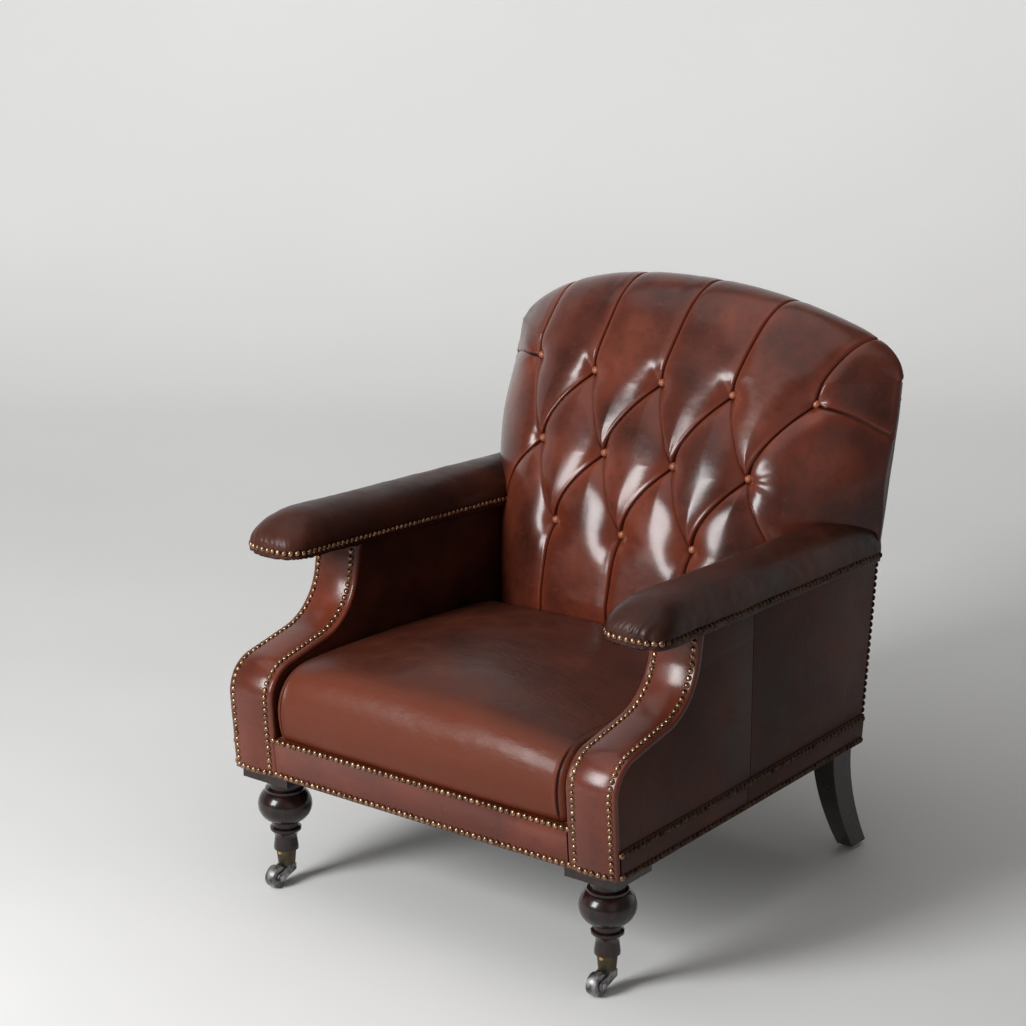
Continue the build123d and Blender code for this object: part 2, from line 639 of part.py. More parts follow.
def seat_section(x):
    """Side outline of the seat at x, from the rear along the bottom to the front and back over the top."""
    half = ARM_IN - SEAT_GAP
    crown = 1 - abs(x / half) ** SEAT_CROWN_POWER
    draw_in = SEAT_DRAW_IN * (1 - crown)
    rear = pad_front_y(x, PAD_SEAT_Z) - SEAT_GAP
    front_z = SEAT_FRONT_Z + SEAT_FRONT_CROWN * crown
    rear_z = SEAT_REAR_Z + SEAT_REAR_CROWN * crown
    foot = FRONT + FOOT_SETBACK - SEAT_BULGE / 2 + draw_in
    face = foot - SEAT_BULGE
    roll_z = front_z - SEAT_ROLL
    roll_y = face + SEAT_ROLL
    bend = SEAT_ROLL * (1 - math.sqrt(0.5))
    swell = (foot + face) / 2 - SEAT_BULGE / 2
    top_y = (roll_y + rear) / 2
    top_z = (front_z + rear_z) / 2 + SEAT_ARCH
    round_off = SEAT_REAR_ROUND * (1 - math.sqrt(0.5))
    edges = [
        Line((x, rear, SEAT_BOTTOM), (x, foot, SEAT_BOTTOM)),
        ThreePointArc((x, foot, SEAT_BOTTOM), (x, swell, (SEAT_BOTTOM + roll_z) / 2), (x, face, roll_z)),
        ThreePointArc((x, face, roll_z), (x, face + bend, front_z - bend), (x, roll_y, front_z)),
        ThreePointArc((x, roll_y, front_z), (x, top_y, top_z), (x, rear - SEAT_REAR_ROUND, rear_z)),
        ThreePointArc((x, rear - SEAT_REAR_ROUND, rear_z), (x, rear - round_off, rear_z - round_off),
                      (x, rear, rear_z - SEAT_REAR_ROUND)),
        Line((x, rear, rear_z - SEAT_REAR_ROUND), (x, rear, SEAT_BOTTOM)),
    ]
    return Wire([edge.edge() for edge in edges])


def seat_cushion():
    half = ARM_IN - SEAT_GAP
    return Part(Solid.make_loft([seat_section(share * half) for share in SEAT_STEPS]).wrapped)


# Legs and casters

def front_leg():
    top = BASE_Z - PLINTH_T
    foot = CUP_BOTTOM_Z + CUP_FLOOR + CUP_ROOM
    slope = (CUP_TOP_R - CUP_FOOT_R) / (RING_Z - RING_T - CUP_BOTTOM_Z)
    peg_top = CUP_TOP_R - CUP_WALL - CUP_PLAY
    cup_top = RING_Z - RING_T
    peg_foot = peg_top - slope * (cup_top - foot)
    neck = ((NECK_TOP_R + NECK_R) / 2 - NECK_HOLLOW, (top + NECK_Z) / 2 - NECK_HOLLOW / 2)
    waist = ((COLLAR_R + STEM_R) / 2 - NECK_HOLLOW / 2, (COLLAR_Z + STEM_Z) / 2 + NECK_HOLLOW / 2)
    collar_top = COLLAR_Z + COLLAR_T
    edges = [
        Polyline((0, foot), (0, top), (NECK_TOP_R, top)),
        ThreePointArc((NECK_TOP_R, top), neck, (NECK_R, NECK_Z)),
        Polyline((NECK_R, NECK_Z), (BALL_TOP_R, NECK_Z - LEG_BEVEL), (BALL_TOP_R, BALL_TOP_Z)),
        ThreePointArc((BALL_TOP_R, BALL_TOP_Z), (BALL_R, BALL_Z), (BALL_FOOT_R, BALL_FOOT_Z)),
        Polyline((BALL_FOOT_R, BALL_FOOT_Z), (BALL_FOOT_R, collar_top + LEG_BEVEL),
                 (COLLAR_R, collar_top), (COLLAR_R, COLLAR_Z)),
        ThreePointArc((COLLAR_R, COLLAR_Z), waist, (STEM_R, STEM_Z)),
        Polyline((STEM_R, STEM_Z), (STEM_FOOT_R, RING_Z), (STEM_FOOT_R, cup_top), (peg_top, cup_top),
                 (peg_foot, foot), (0, foot)),
    ]
    turning = turned(make_face([edge for line in edges for edge in line.edges()]), LEG_X, leg_y())
    plinth = Pos(LEG_X, leg_y(), top + PLINTH_T / 2) * Box(PLINTH, PLINTH, PLINTH_T)
    hole = cylinder_z(LEG_X, leg_y(), BASE_Z - BOLT_IN_LEG, BASE_Z, BOLT_R + BOLT_PLAY)
    return turning + plinth - hole - cup_screw(BOLT_PLAY)


def leg_y():
    return FRONT + LEG_Y


def caster_cup():
    cup_top = RING_Z - RING_T
    slope = (CUP_TOP_R - CUP_FOOT_R) / (cup_top - CUP_BOTTOM_Z)
    floor = CUP_BOTTOM_Z + CUP_FLOOR
    bore = PINTLE_R + RUNNING_FIT
    outline = polygon([
        (bore, CUP_BOTTOM_Z), (CUP_FOOT_R, CUP_BOTTOM_Z), (CUP_TOP_R, cup_top),
        (CUP_TOP_R - CUP_WALL, cup_top),
        (CUP_TOP_R - CUP_WALL - slope * (cup_top - floor), floor), (bore, floor),
    ])
    return turned(outline, LEG_X, leg_y()) - cup_screw(BOLT_PLAY)


def cup_screw(play):
    """Screw through the front of the cup into the leg."""
    slope = (CUP_TOP_R - CUP_FOOT_R) / (RING_Z - RING_T - CUP_BOTTOM_Z)
    face = CUP_FOOT_R + slope * (CUP_SCREW_Z - CUP_BOTTOM_Z)
    shank = polygon([
        (0, -CUP_SCREW_LENGTH), (CUP_SCREW_R + play, -CUP_SCREW_LENGTH), (CUP_SCREW_R + play, 0),
        (CUP_SCREW_HEAD_R + play, 0), (CUP_SCREW_CROWN_R + play, CUP_SCREW_HEAD_T),
        (0, CUP_SCREW_HEAD_T),
    ])
    screw = revolve(Plane.XZ * shank, Axis.Z)
    return along(Vector(LEG_X, leg_y() - face, CUP_SCREW_Z), Vector(0, -1, 0)) * screw


def caster_horn():
    """Fork that swivels under the cup, with its pintle and riveted head."""
    x, y = LEG_X, leg_y()
    top = CUP_BOTTOM_Z - SWIVEL_GAP
    floor = CUP_BOTTOM_Z + CUP_FLOOR
    head = floor + SWIVEL_GAP
    flange_bottom = top - HORN_FLANGE_T
    inside = WHEEL_W / 2 + CHEEK_GAP
    pintle = cylinder_z(x, y, flange_bottom, head + PINTLE_HEAD_T, PINTLE_R)
    rivet = cylinder_z(x, y, head, head + PINTLE_HEAD_T, PINTLE_HEAD_R)
    flange = cylinder_z(x, y, flange_bottom, top, HORN_FLANGE_R)
    crown_front = y - WHEEL_TRAIL + WHEEL_R + CHEEK_GAP
    crown = prism_x(polygon([
        (crown_front, HORN_CROWN_Z), (y + HORN_REACH, HORN_CROWN_Z + HORN_FLANGE_T), (y + HORN_REACH, top),
        (crown_front, top),
    ]), x - inside - CHEEK_T, x + inside + CHEEK_T)
    crown &= cylinder_z(x, y, 0, top, math.hypot(HORN_REACH, inside + CHEEK_T))
    axle = (y - WHEEL_TRAIL, WHEEL_R)
    arm = make_hull(
        (Pos(*axle) * CenterArc((0, 0), CHEEK_BOSS_R, 0, 360)).edges()
        + Polyline((y - HORN_NECK, top), (y + HORN_REACH, top),
                   (y + HORN_REACH, HORN_CROWN_Z + HORN_FLANGE_T), (y - HORN_NECK, top)).edges())
    cheeks = prism_x(arm, x + inside, x + inside + CHEEK_T) + prism_x(arm, x - inside - CHEEK_T, x - inside)
    bore = axle_line(AXLE_R + RUNNING_FIT, WHEEL_W + 4 * CHEEK_T)
    return pintle + rivet + flange + crown + cheeks - bore


def axle_line(radius, length):
    return Pos(LEG_X, leg_y() - WHEEL_TRAIL, WHEEL_R) * (Rot(0, 90, 0) * Cylinder(radius, length))


def caster_axle():
    outside = WHEEL_W + 2 * (CHEEK_GAP + CHEEK_T)
    pin = axle_line(AXLE_R, outside + 2 * AXLE_HEAD_T)
    head = axle_line(AXLE_HEAD_R, AXLE_HEAD_T)
    place = (outside + AXLE_HEAD_T) / 2
    return pin + [Pos(place, 0, 0) * head, Pos(-place, 0, 0) * head]


def caster_wheel():
    half = WHEEL_W / 2
    bore = AXLE_R + RUNNING_FIT
    edge = WHEEL_R - WHEEL_CROWN
    profile = make_face(
        Polyline((edge, half), (bore, half), (bore, -half), (edge, -half)).edges()
        + ThreePointArc((edge, -half), (WHEEL_R, 0), (edge, half)).edges())
    wheel = Rot(0, 90, 0) * revolve(Plane.XZ * profile, Axis.Z)
    return Pos(LEG_X, leg_y() - WHEEL_TRAIL, WHEEL_R) * wheel


def rear_leg_section(share):
    """Square section of the swept leg: share is 0 at the base and 1 at the foot."""
    z = BASE_Z + share * (GLIDE_T - BASE_Z)
    width = REAR_LEG_TOP_W + share * (REAR_LEG_FOOT_W - REAR_LEG_TOP_W)
    depth = REAR_LEG_TOP_D + share * (REAR_LEG_FOOT_D - REAR_LEG_TOP_D)
    sweep = REAR_LEG_SWEEP * share ** REAR_LEG_CURVE
    x = FRAME_OUT - REAR_LEG_TOE_IN * share - width / 2
    y = rear_leg_y() + sweep
    return Plane.XY.offset(z) * (Pos(x, y) * Rectangle(width, depth))


def rear_leg_y():
    return rear_y(BASE_Z) - REAR_LEG_INSET - REAR_LEG_TOP_D / 2


def rear_leg_bolt(play):
    x = FRAME_OUT - REAR_LEG_TOP_W / 2
    y = rear_leg_y()
    return cylinder_z(x, y, BASE_Z - BOLT_IN_LEG - play, BASE_Z + BOLT_IN_FRAME + play, BOLT_R + play)


def front_leg_bolt(play):
    return cylinder_z(LEG_X, leg_y(), BASE_Z - BOLT_IN_LEG, BASE_Z + BOLT_IN_FRAME + play, BOLT_R + play)


def rear_leg():
    return loft([rear_leg_section(share) for share in REAR_LEG_STEPS]) - rear_leg_bolt(BOLT_PLAY)


def rear_glide():
    x = FRAME_OUT - REAR_LEG_TOE_IN - REAR_LEG_FOOT_W / 2
    return cylinder_z(x, rear_leg_y() + REAR_LEG_SWEEP, 0, GLIDE_T, GLIDE_R)


# Wooden frame

def back_inside(z):
    """Front of the back posts at height z."""
    return rear_y(z, OUTSIDE_BACK_T + BACK_POST_DEPTH)


def arm_post():
    front = front_line(FACING_T) @ 1
    head_rear = FRONT + WAIST_BACK + POST_HEAD_DEPTH
    outline = arm_outline(FACING_T, OUTSIDE_BACK_T, BASE_Z) & polygon([
        (-FAR, BASE_Z), (POST_REAR, BASE_Z), (POST_REAR, POST_STEP_Z), (head_rear, POST_HEAD_Z),
        (head_rear, front.Y), (-FAR, front.Y),
    ])
    return prism_x(outline, FRAME_IN, FRAME_OUT)


def arm_rail():
    head_rear = FRONT + WAIST_BACK + POST_HEAD_DEPTH
    band = polygon([
        (head_rear, arm_under_z(head_rear) - ARM_RAIL_HEIGHT), (FAR, arm_under_z(FAR) - ARM_RAIL_HEIGHT),
        (FAR, FAR), (head_rear, FAR),
    ])
    return prism_x(arm_outline(FACING_T, BACK_FRAME, BASE_Z) & band, FRAME_IN, FRAME_OUT)


def side_rail():
    outline = polygon([
        (POST_REAR, BASE_Z), (back_inside(BASE_Z), BASE_Z), (back_inside(RAIL_TOP), RAIL_TOP),
        (POST_REAR, RAIL_TOP),
    ])
    return prism_x(outline, FRAME_IN, FRAME_OUT) - rear_leg_bolt(BOLT_PLAY)


def front_rail():
    face = polygon([(RAIL_FRONT, BASE_Z), (RAIL_FRONT + RAIL_T, BASE_Z), (RAIL_FRONT + RAIL_T, RAIL_TOP),
                    (RAIL_FRONT, RAIL_TOP)])
    return prism_x(face, -FRAME_IN, FRAME_IN)


def back_rail():
    slab = back_slab(OUTSIDE_BACK_T, OUTSIDE_BACK_T + RAIL_T, BASE_Z, RAIL_TOP)
    return prism_x(slab, -BACK_POST_IN, BACK_POST_IN)


def back_post():
    slab = back_slab(OUTSIDE_BACK_T, OUTSIDE_BACK_T + BACK_POST_DEPTH, BASE_Z, TOP_RAIL_Z)
    return prism_x(slab, BACK_POST_IN, FRAME_OUT) & back_frame_limit(0)


def top_rail():
    slab = back_slab(OUTSIDE_BACK_T, OUTSIDE_BACK_T + BACK_POST_DEPTH, TOP_RAIL_Z, 2 * BACK_TOP_Z)
    return prism_x(slab, -FRAME_OUT, FRAME_OUT) & back_frame_limit(0)


def lower_back_rail():
    slab = back_slab(OUTSIDE_BACK_T, OUTSIDE_BACK_T + LOWER_BACK_RAIL_T, LOWER_BACK_RAIL_Z,
                     LOWER_BACK_RAIL_Z + LOWER_BACK_RAIL_H)
    return prism_x(slab, -BACK_POST_IN, BACK_POST_IN)


def corner_blocks():
    front = RAIL_FRONT + RAIL_T
    back = rear_y(BASE_Z, OUTSIDE_BACK_T + RAIL_T)
    z0, z1 = BASE_Z + BLOCK_INSET_Z, RAIL_TOP - BLOCK_INSET_Z
    blocks = []
    for corner, turn in ((front, 1), (back, -1)):
        face = polygon([
            (FRAME_IN, corner), (FRAME_IN - BLOCK_LEG, corner), (FRAME_IN, corner + turn * BLOCK_LEG)])
        block = prism_z(face, z0, z1) - front_leg_bolt(BOLT_PLAY)
        blocks += [block, other_side(block)]
    return blocks


def seat_webbing():
    """Straps from front to rear on the rails, with cross straps laid over them."""
    front, back = RAIL_FRONT, rear_y(RAIL_TOP, OUTSIDE_BACK_T)
    straps = []
    for place in range(SEAT_WEB_LONG):
        x = (place - (SEAT_WEB_LONG - 1) / 2) * SEAT_WEB_LONG_PITCH
        strap = Box(WEB_WIDTH, back - front, WEB_T)
        straps.append(Pos(x, (front + back) / 2, RAIL_TOP + WEB_T / 2) * strap)
    for place in range(SEAT_WEB_CROSS):
        y = (front + back) / 2 + (place - (SEAT_WEB_CROSS - 1) / 2) * SEAT_WEB_CROSS_PITCH
        straps.append(Pos(0, y, RAIL_TOP + 1.5 * WEB_T) * Box(2 * FRAME_IN, WEB_WIDTH, WEB_T))
    return straps


def seat_deck():
    front, back = RAIL_FRONT, back_inside(RAIL_TOP) - WEB_T
    low = RAIL_TOP + 2 * WEB_T
    return Pos(0, (front + back) / 2, low + DECK_T / 2) * Box(2 * FRAME_IN, back - front, DECK_T)


def back_webbing():
    inside = OUTSIDE_BACK_T + BACK_POST_DEPTH
    pitch = (TOP_RAIL_Z - BACK_WEB_TOP_GAP - BACK_WEB_FIRST_Z) / (BACK_WEB_COUNT - 1)
    straps = []
    for place in range(BACK_WEB_COUNT):
        z = BACK_WEB_FIRST_Z + place * pitch
        straps.append(prism_x(back_slab(inside, inside + WEB_T, z - WEB_WIDTH / 2, z + WEB_WIDTH / 2),
                              -BACK_WEB_HALF, BACK_WEB_HALF))
    return straps


# Leather and padded panels

def arm_facing():
    outline = arm_outline(0, OUTSIDE_BACK_T, BASE_Z) - behind_front_line(FACING_T)
    return prism_x(outline, ARM_IN, HALF_BODY)


def outer_arm_panel():
    return prism_x(arm_outline(FACING_T, OUTSIDE_BACK_T, BASE_Z), FRAME_OUT, HALF_BODY)


def inner_arm_panel():
    return prism_x(arm_outline(FACING_T, BACK_FRAME, SEAT_BOTTOM), ARM_IN, FRAME_IN)


def side_band():
    band = arm_outline(FACING_T, 0, BASE_Z) & polygon([
        (-FAR, BASE_Z), (FAR, BASE_Z), (FAR, BASE_Z + SIDE_BAND_HEIGHT), (-FAR, BASE_Z + SIDE_BAND_HEIGHT)])
    return prism_x(band, HALF_BODY, HALF_BODY + SIDE_BAND_T)


def front_band():
    front = behind_front_line(0)
    ahead = polygon([
        (-FAR, BASE_Z), (RAIL_FRONT, BASE_Z), (RAIL_FRONT, SEAT_BOTTOM), (-FAR, SEAT_BOTTOM)])
    return prism_x(front & ahead, -ARM_IN, ARM_IN)


def outside_back_panel():
    half = OUTSIDE_BACK_HALF
    bend, corner = half - OUTSIDE_BACK_BEND_IN, half - OUTSIDE_BACK_CORNER_IN
    side = (half, BACK_TOP_Z - OUTSIDE_BACK_SIDE_DROP)
    middle = (bend, BACK_TOP_Z - OUTSIDE_BACK_BEND_DROP)
    upper = (corner, BACK_TOP_Z - OUTSIDE_BACK_CORNER_DROP)
    lines = [
        Polyline((-half, side[1]), (-half, 0), (half, 0), side),
        ThreePointArc(side, middle, upper),
        ThreePointArc(upper, (0, BACK_TOP_Z), (-corner, upper[1])),
        ThreePointArc((-corner, upper[1]), (-bend, middle[1]), (-half, side[1])),
    ]
    outline = make_face([edge for line in lines for edge in line.edges()])
    slab = prism_x(back_slab(0, OUTSIDE_BACK_T, BASE_Z, 2 * BACK_TOP_Z), -HALF_BODY, HALF_BODY)
    return slab & extrude(Plane.XZ * outline, DEPTH, both=True)


def arm_board():
    return arm_board_form() - behind_back(BACK_FRAME)


def arm_pad():
    return arm_pad_form(0) - arm_board_form() - back_pocket(0)


def dust_cover():
    front, back = FRONT + FOOT_SETBACK + DUST_COVER_INSET, rear_y(BASE_Z) - DUST_COVER_INSET
    half = HALF_BODY - DUST_COVER_INSET
    sheet = Box(2 * half, back - front, DUST_COVER_T)
    cover = Pos(0, (front + back) / 2, BASE_Z - DUST_COVER_T / 2) * sheet
    size = PLINTH + 2 * BOLT_PLAY
    rear_w, rear_d = REAR_LEG_TOP_W + 2 * SEAT_GAP, REAR_LEG_TOP_D + 2 * SEAT_GAP
    rear_x = FRAME_OUT - REAR_LEG_TOP_W / 2
    for side in (-1, 1):
        cover -= Pos(side * LEG_X, leg_y(), BASE_Z) * Box(size, size, PLINTH_T)
        cover -= Pos(side * rear_x, rear_leg_y(), BASE_Z) * Box(rear_w, rear_d, PLINTH_T)
    return cover


# Pieces: those in PAIRS are made once for the right side and mirrored for the left
SINGLE = {
    "front_rail": front_rail,
    "back_rail": back_rail,
    "top_rail": top_rail,
    "lower_back_rail": lower_back_rail,
    "seat_deck": seat_deck,
    "seat_cushion": seat_cushion,
    "front_band": front_band,
    "back_pad": back_pad,
    "outside_back_panel": outside_back_panel,
    "dust_cover": dust_cover,
}
PAIRS = {
    "arm_post": arm_post,
    "arm_rail": arm_rail,
    "side_rail": side_rail,
    "back_post": back_post,
    "arm_board": arm_board,
    "arm_pad": arm_pad,
    "arm_facing": arm_facing,
    "inner_arm_panel": inner_arm_panel,
    "outer_arm_panel": outer_arm_panel,
    "side_band": side_band,
    "front_leg": front_leg,
    "rear_leg": rear_leg,
    "rear_glide": rear_glide,
    "caster_cup": caster_cup,
    "caster_horn": caster_horn,
    "caster_axle": caster_axle,
    "caster_wheel": caster_wheel,
}
GROUPS = {
    "corner_blocks": corner_blocks,
    "seat_webbing": seat_webbing,
    "back_webbing": back_webbing,
    "back_buttons": back_buttons,
    "leg_bolts": lambda: [front_leg_bolt(0), other_side(front_leg_bolt(0)),
                          rear_leg_bolt(0), other_side(rear_leg_bolt(0))],
    "cup_screws": lambda: [cup_screw(0), other_side(cup_screw(0))],
}


def main():
    os.makedirs("parts", exist_ok=True)
    for name, make in SINGLE.items():
        export_step(make(), f"parts/{name}.step")
    for name, make in PAIRS.items():
        right = make()
        export_step(right, f"parts/right_{name}.step")
        export_step(other_side(right), f"parts/left_{name}.step")
    for name, make in GROUPS.items():
        export_step(Compound(children=make()), f"parts/{name}.step")


main()
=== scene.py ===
"""Leather club chair: upholstery, nails, finishes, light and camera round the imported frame. Metres, +Z up."""
import json
import math

import bmesh
import bpy
import numpy as np
from mathutils import Matrix, Vector, noise


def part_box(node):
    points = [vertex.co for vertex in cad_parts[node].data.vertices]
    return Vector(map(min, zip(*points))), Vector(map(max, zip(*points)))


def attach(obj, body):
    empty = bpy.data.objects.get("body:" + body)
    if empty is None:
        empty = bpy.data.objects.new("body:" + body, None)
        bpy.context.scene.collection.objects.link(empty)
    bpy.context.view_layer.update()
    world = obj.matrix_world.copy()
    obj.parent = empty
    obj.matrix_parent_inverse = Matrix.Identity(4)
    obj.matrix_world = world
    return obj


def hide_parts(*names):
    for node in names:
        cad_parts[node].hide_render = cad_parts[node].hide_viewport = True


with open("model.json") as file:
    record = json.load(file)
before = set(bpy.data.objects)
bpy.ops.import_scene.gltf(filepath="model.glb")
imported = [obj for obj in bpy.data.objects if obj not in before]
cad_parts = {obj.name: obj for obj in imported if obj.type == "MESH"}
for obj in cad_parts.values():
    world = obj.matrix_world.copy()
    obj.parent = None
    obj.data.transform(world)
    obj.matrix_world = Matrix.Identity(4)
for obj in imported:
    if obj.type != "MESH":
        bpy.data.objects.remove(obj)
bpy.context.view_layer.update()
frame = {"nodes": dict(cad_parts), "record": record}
NODES = frame["nodes"]
SIDES = (("left", -1), ("right", 1))

# Body
HALF_BODY = 0.355
FRONT = -0.387
REAR = 0.387
BASE_Z = 0.196
BACK_TOP_Z = 0.851
KNEE_Z = 0.516
LOWER_RAKE = math.radians(6.3)
UPPER_RAKE = math.radians(12.2)
ARM_IN = 0.270  # face of the inside arms
PANEL_REAR = 0.0064  # rear of the back pad ahead of the rear line
BAND_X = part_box("right_side_band")[1].x  # outer face of the side bands

# S-shaped front of the arms
FOOT_SETBACK = 0.011
BELLY_REACH = 0.0025
BELLY_Z = 0.3636
BELLY_RADIUS = 0.054
WAIST_BACK = 0.189
WAIST_Z = 0.4014
WAIST_RADIUS = 0.091
HEAD_LEAN = math.radians(10.3)
FACING_T = 0.008
FACING_CROWN = 0.0035  # swell of the leather between its nail lines
FACING_EDGE = 0.005  # rounded edges
FACING_STEP = 0.004
ARM_FRONT_RUBBED_AND_LIT = 0.36  # how far the arm fronts and front band are rubbed red and painted lighter as faces lit from the front

# Arm pads
ARM_SLOPE = math.radians(3.2)
ARM_SPLAY = math.radians(1.9)
ARM_UNDER_Z = 0.487
ARM_PAD_X = 0.318
ARM_PAD_TIP = FRONT + 0.064
ARM_PAD_HALF = 0.054
ARM_PAD_HEIGHT = 0.066
ARM_PAD_SIDE = 0.014
ARM_PAD_SLACK = 0.003  # left for the stuffing to fill
ARM_TIP_LENGTH = 0.090
ARM_TIP_ROUND = 0.62  # share of the tip in which the pad reaches its full width
ARM_TIP_CROWN = 0.10  # crown at the very tip as a share
ARM_NAIL_Z = 0.013  # nails above the underside of the pad
ARM_PUCKER = 0.0006  # gathers above the nails
ARM_SEAM_Y = -0.041  # upright seam of the outside arms
SEAM_GAP = 0.0006
ARM_CROWN_POWER = 0.92
ARM_CROWN_POINTS = 57
ARM_HEM = ((0.006, -0.001), (0.001, -0.0004))  # points under the edge: how far in, and height
ARM_EDGE_Z = (0.001, 0.0035, 0.007, 0.0105)  # points up the edge
ARM_NAIL_DIP = 0.0022  # how far the nails draw in the edge
ARM_NAIL_DROP = 0.004  # middle of the nails below the line that they draw in
ARM_TIP_STATIONS = 34
ARM_STEP = 0.006
ARM_PAST_REAR = 0.03  # how far the pad is drawn past the rear line, before it is cut off there
ARM_TURN_AT = 0.050  # gathers fan out round a point this far behind the tip
ARM_TURN_RADIUS = 0.055
ARM_GATHER = 1.6  # how much deeper the gathers are at the tip
ARM_GATHER_REACH = 0.035
ARM_GATHER_HEIGHT = 0.010

# Seat
SEAT_HALF = 0.2685
SEAT_BOTTOM = 0.260
SEAT_FRONT_Z = 0.369
SEAT_REAR_Z = 0.334
SEAT_FRONT_CROWN = 0.020
SEAT_REAR_CROWN = 0.040
SEAT_CROWN_POWER = 3.0
SEAT_ARCH = 0.008
SEAT_ROLL = 0.052
SEAT_BULGE = 0.007
SEAT_DRAW_IN = 0.004
SEAT_EDGE_ROUND = 0.016  # rounded sides, which leave a groove beside the arms
SEAT_SWELL = 0.008  # most that the stuffing moves the leather
SEAT_FOLD_IN = 0.014  # folds down the front, from the sides
SEAT_FOLD_DEEP = 0.0030
SEAT_FOLD_HALF = 0.0014
OUTLINE_POINTS = 170
OUTLINE_SMOOTHING = 18
SEAT_LIP_RISE = 0.0014  # leather that stands up beside the folds
SEAT_LIP_BESIDE = 0.0035
SEAT_LIP_WIDTH = 0.0026
SEAT_TUCK = 0.010  # rounded lower edge of the front
SEAT_FLAT = 0.004  # height above the bottom that keeps its form
SEAT_BEHIND = 0.006  # rear of the seat behind the front of the back
SEAT_REAR_ROUND = 0.010
SEAT_REAR_BEND = 0.003
SEAT_HELD = 0.006  # edges that are sewn down
SEAT_COLUMNS = 121

# Tufted back
ROW_Z = (0.721, 0.611, 0.500)
ROW_COUNT = (5, 4, 3)
BUTTON_PITCH = 0.129
BUTTON_R = 0.0068
PAD_LEVELS = (0.396, 0.500, 0.611, 0.721, 0.758)
PAD_FRONTS = (0.090, 0.112, 0.155, 0.217, 0.239)
PAD_FALLS = (1.35, 1.10, 0.89, 0.98, 0.98)
PAD_BOTTOM_Z = 0.296
PAD_PIVOT_Z = 0.758
PAD_PIVOT_DEPTH = 0.1215
PAD_CREST_HEIGHT = 0.108
PAD_HALF = 0.360
PAD_EDGE = 0.008
PAD_HIDDEN_HALF = 0.2685  # half width below the arm pads, between the inside arms
PAD_HIDDEN_Z = (0.489, 0.512)
# Left and right half widths where the crest begins, the left shoulder drawn in more
PAD_SHOULDER_HALVES = (0.349, 0.358)
PAD_SHOULDER_Z = (0.680, 0.758)
FALL_POWER = 4.0
CREST_FALL = 0.60
CREST_FALL_LATE = 2.2  # how late on the way over the crest its ends rise
CREST_POWER = 2.0
CORNER_POWERS = (7.0, 15.0)
CREST_SPREAD = 1.08
CREST_LEAN = 0.028  # how far the pleats drift to one side over the crest
CREST_TURN = math.radians(90) + UPPER_RAKE
CREST_LENGTH = CREST_TURN * PAD_CREST_HEIGHT
CREST_DRAW_IN = 0.34

# Tufts and pleats of the back
TUFT_DEPTH = 0.030
PLEAT_DEEP = 0.020  # at a button
PLEAT_SHALLOW = 0.009  # half way between two buttons
PLEAT_POWER = 2.2
LAPPED_BOW = 0.014  # how far the pleats that rise to the right bow to the left
OPEN_BOW = 0.001  # and those that rise to the left
PUFF_WIDTH = 0.0556  # from a pleat to the middle of a diamond
PUFF_ROUND = 0.66  # under 1 the puffs meet in sharp pleats
FUNNEL_DEEP = 0.008
FUNNEL_WIDTH = 0.012
CREST_PLEAT = 0.004
CREST_FADE = 0.016
LOW_PLEAT = 0.004
LOW_FADE = 0.030
NARROW_PLEAT = 0.020  # width of the pleats that run over the crest and to the seat
SIDE_PLEAT = 0.0075
SIDE_PLEAT_DROP = 0.034
GROOVE_DEEP = 0.0024  # narrow fold at the bottom of a pleat
GROOVE_HALF = 0.0012
LIP_RISE = 0.0012
MARK_HALF = 0.0008  # half distance of two columns of points that meet at a button
STRIP_COLUMNS = 28
SIDE_COLUMNS = 34
REAR_COLUMNS = 12
LEVEL_STEP = 0.003
FAR = 9.0  # out of reach of every pleat
LIP_BESIDE = 0.0034
LIP_WIDTH = 0.0024
SHADE_BESIDE = 0.0007  # dark painted shade line along a crease
SHADE_HALF = 0.0015
RUBBED_GAIN = 1.4  # leather rubbed red beside a fold
RUBBED_REACH = 0.008
PLEAT_END = 0.002  # how softly a pleat ends at its buttons
OPEN_FOLD = 0.5  # folds of the pleats that rise to the left, as a share of the lapped ones
UPRIGHT_FOLD = 0.9
UPRIGHT_THINNING = 0.35  # how much weaker that fold gets over the crest
CREST_THINNING = 0.45  # how much shallower the pleats get over the crest
SIDE_PLEAT_SKEW = 0.35  # the right pleat drops more than the left
SIDE_PLEAT_RISE = 0.005
SIDE_PLEAT_START = 0.010  # extra depth at the button
SIDE_PLEAT_WIDTH = 0.022
SIDE_PLEAT_WIDE = 1.5  # its fold is wider than the others
WRINKLE_DEPTHS = {-1: 0.0004, 1: 0.0012}
WRINKLE_REACH = 0.030
WRINKLE_SPREAD = 0.022
TUCK_STRENGTHS = (1.0, 0.9, 0.5)
TUCK_DEEP = 0.0032
TUCK_WIDTH = 0.0065
TUCK_HEIGHT = 0.034
TUCK_LEAN = 0.017
BUTTON_SHADE = 0.009
BUTTON_RUBBED = 0.024
BUTTON_OUT = 0.0070  # rim of a button ahead of the bottom of its tuft
BUTTON_RISE = 0.0055
PAD_LEAST = PAD_EDGE * 0.6  # least thickness under a pleat
CREST_CORE = 0.003  # hidden inner side of the crest, from its pivot line

# Unevenness of the leather: depth, and noise to the metre
BACK_UNEVEN = (0.0007, 24)
TUFT_UNEVEN = (0.0005, 110)
TUFT_REACH = 0.030
SEAT_HOLLOWS = (0.0018, 8)
SEAT_UNEVEN = (0.0006, 30)
ARM_SWELLS = (0.0015, 14)
ARM_UNEVEN = (0.0005, 60)
FACING_UNEVEN = (0.0006, 40)

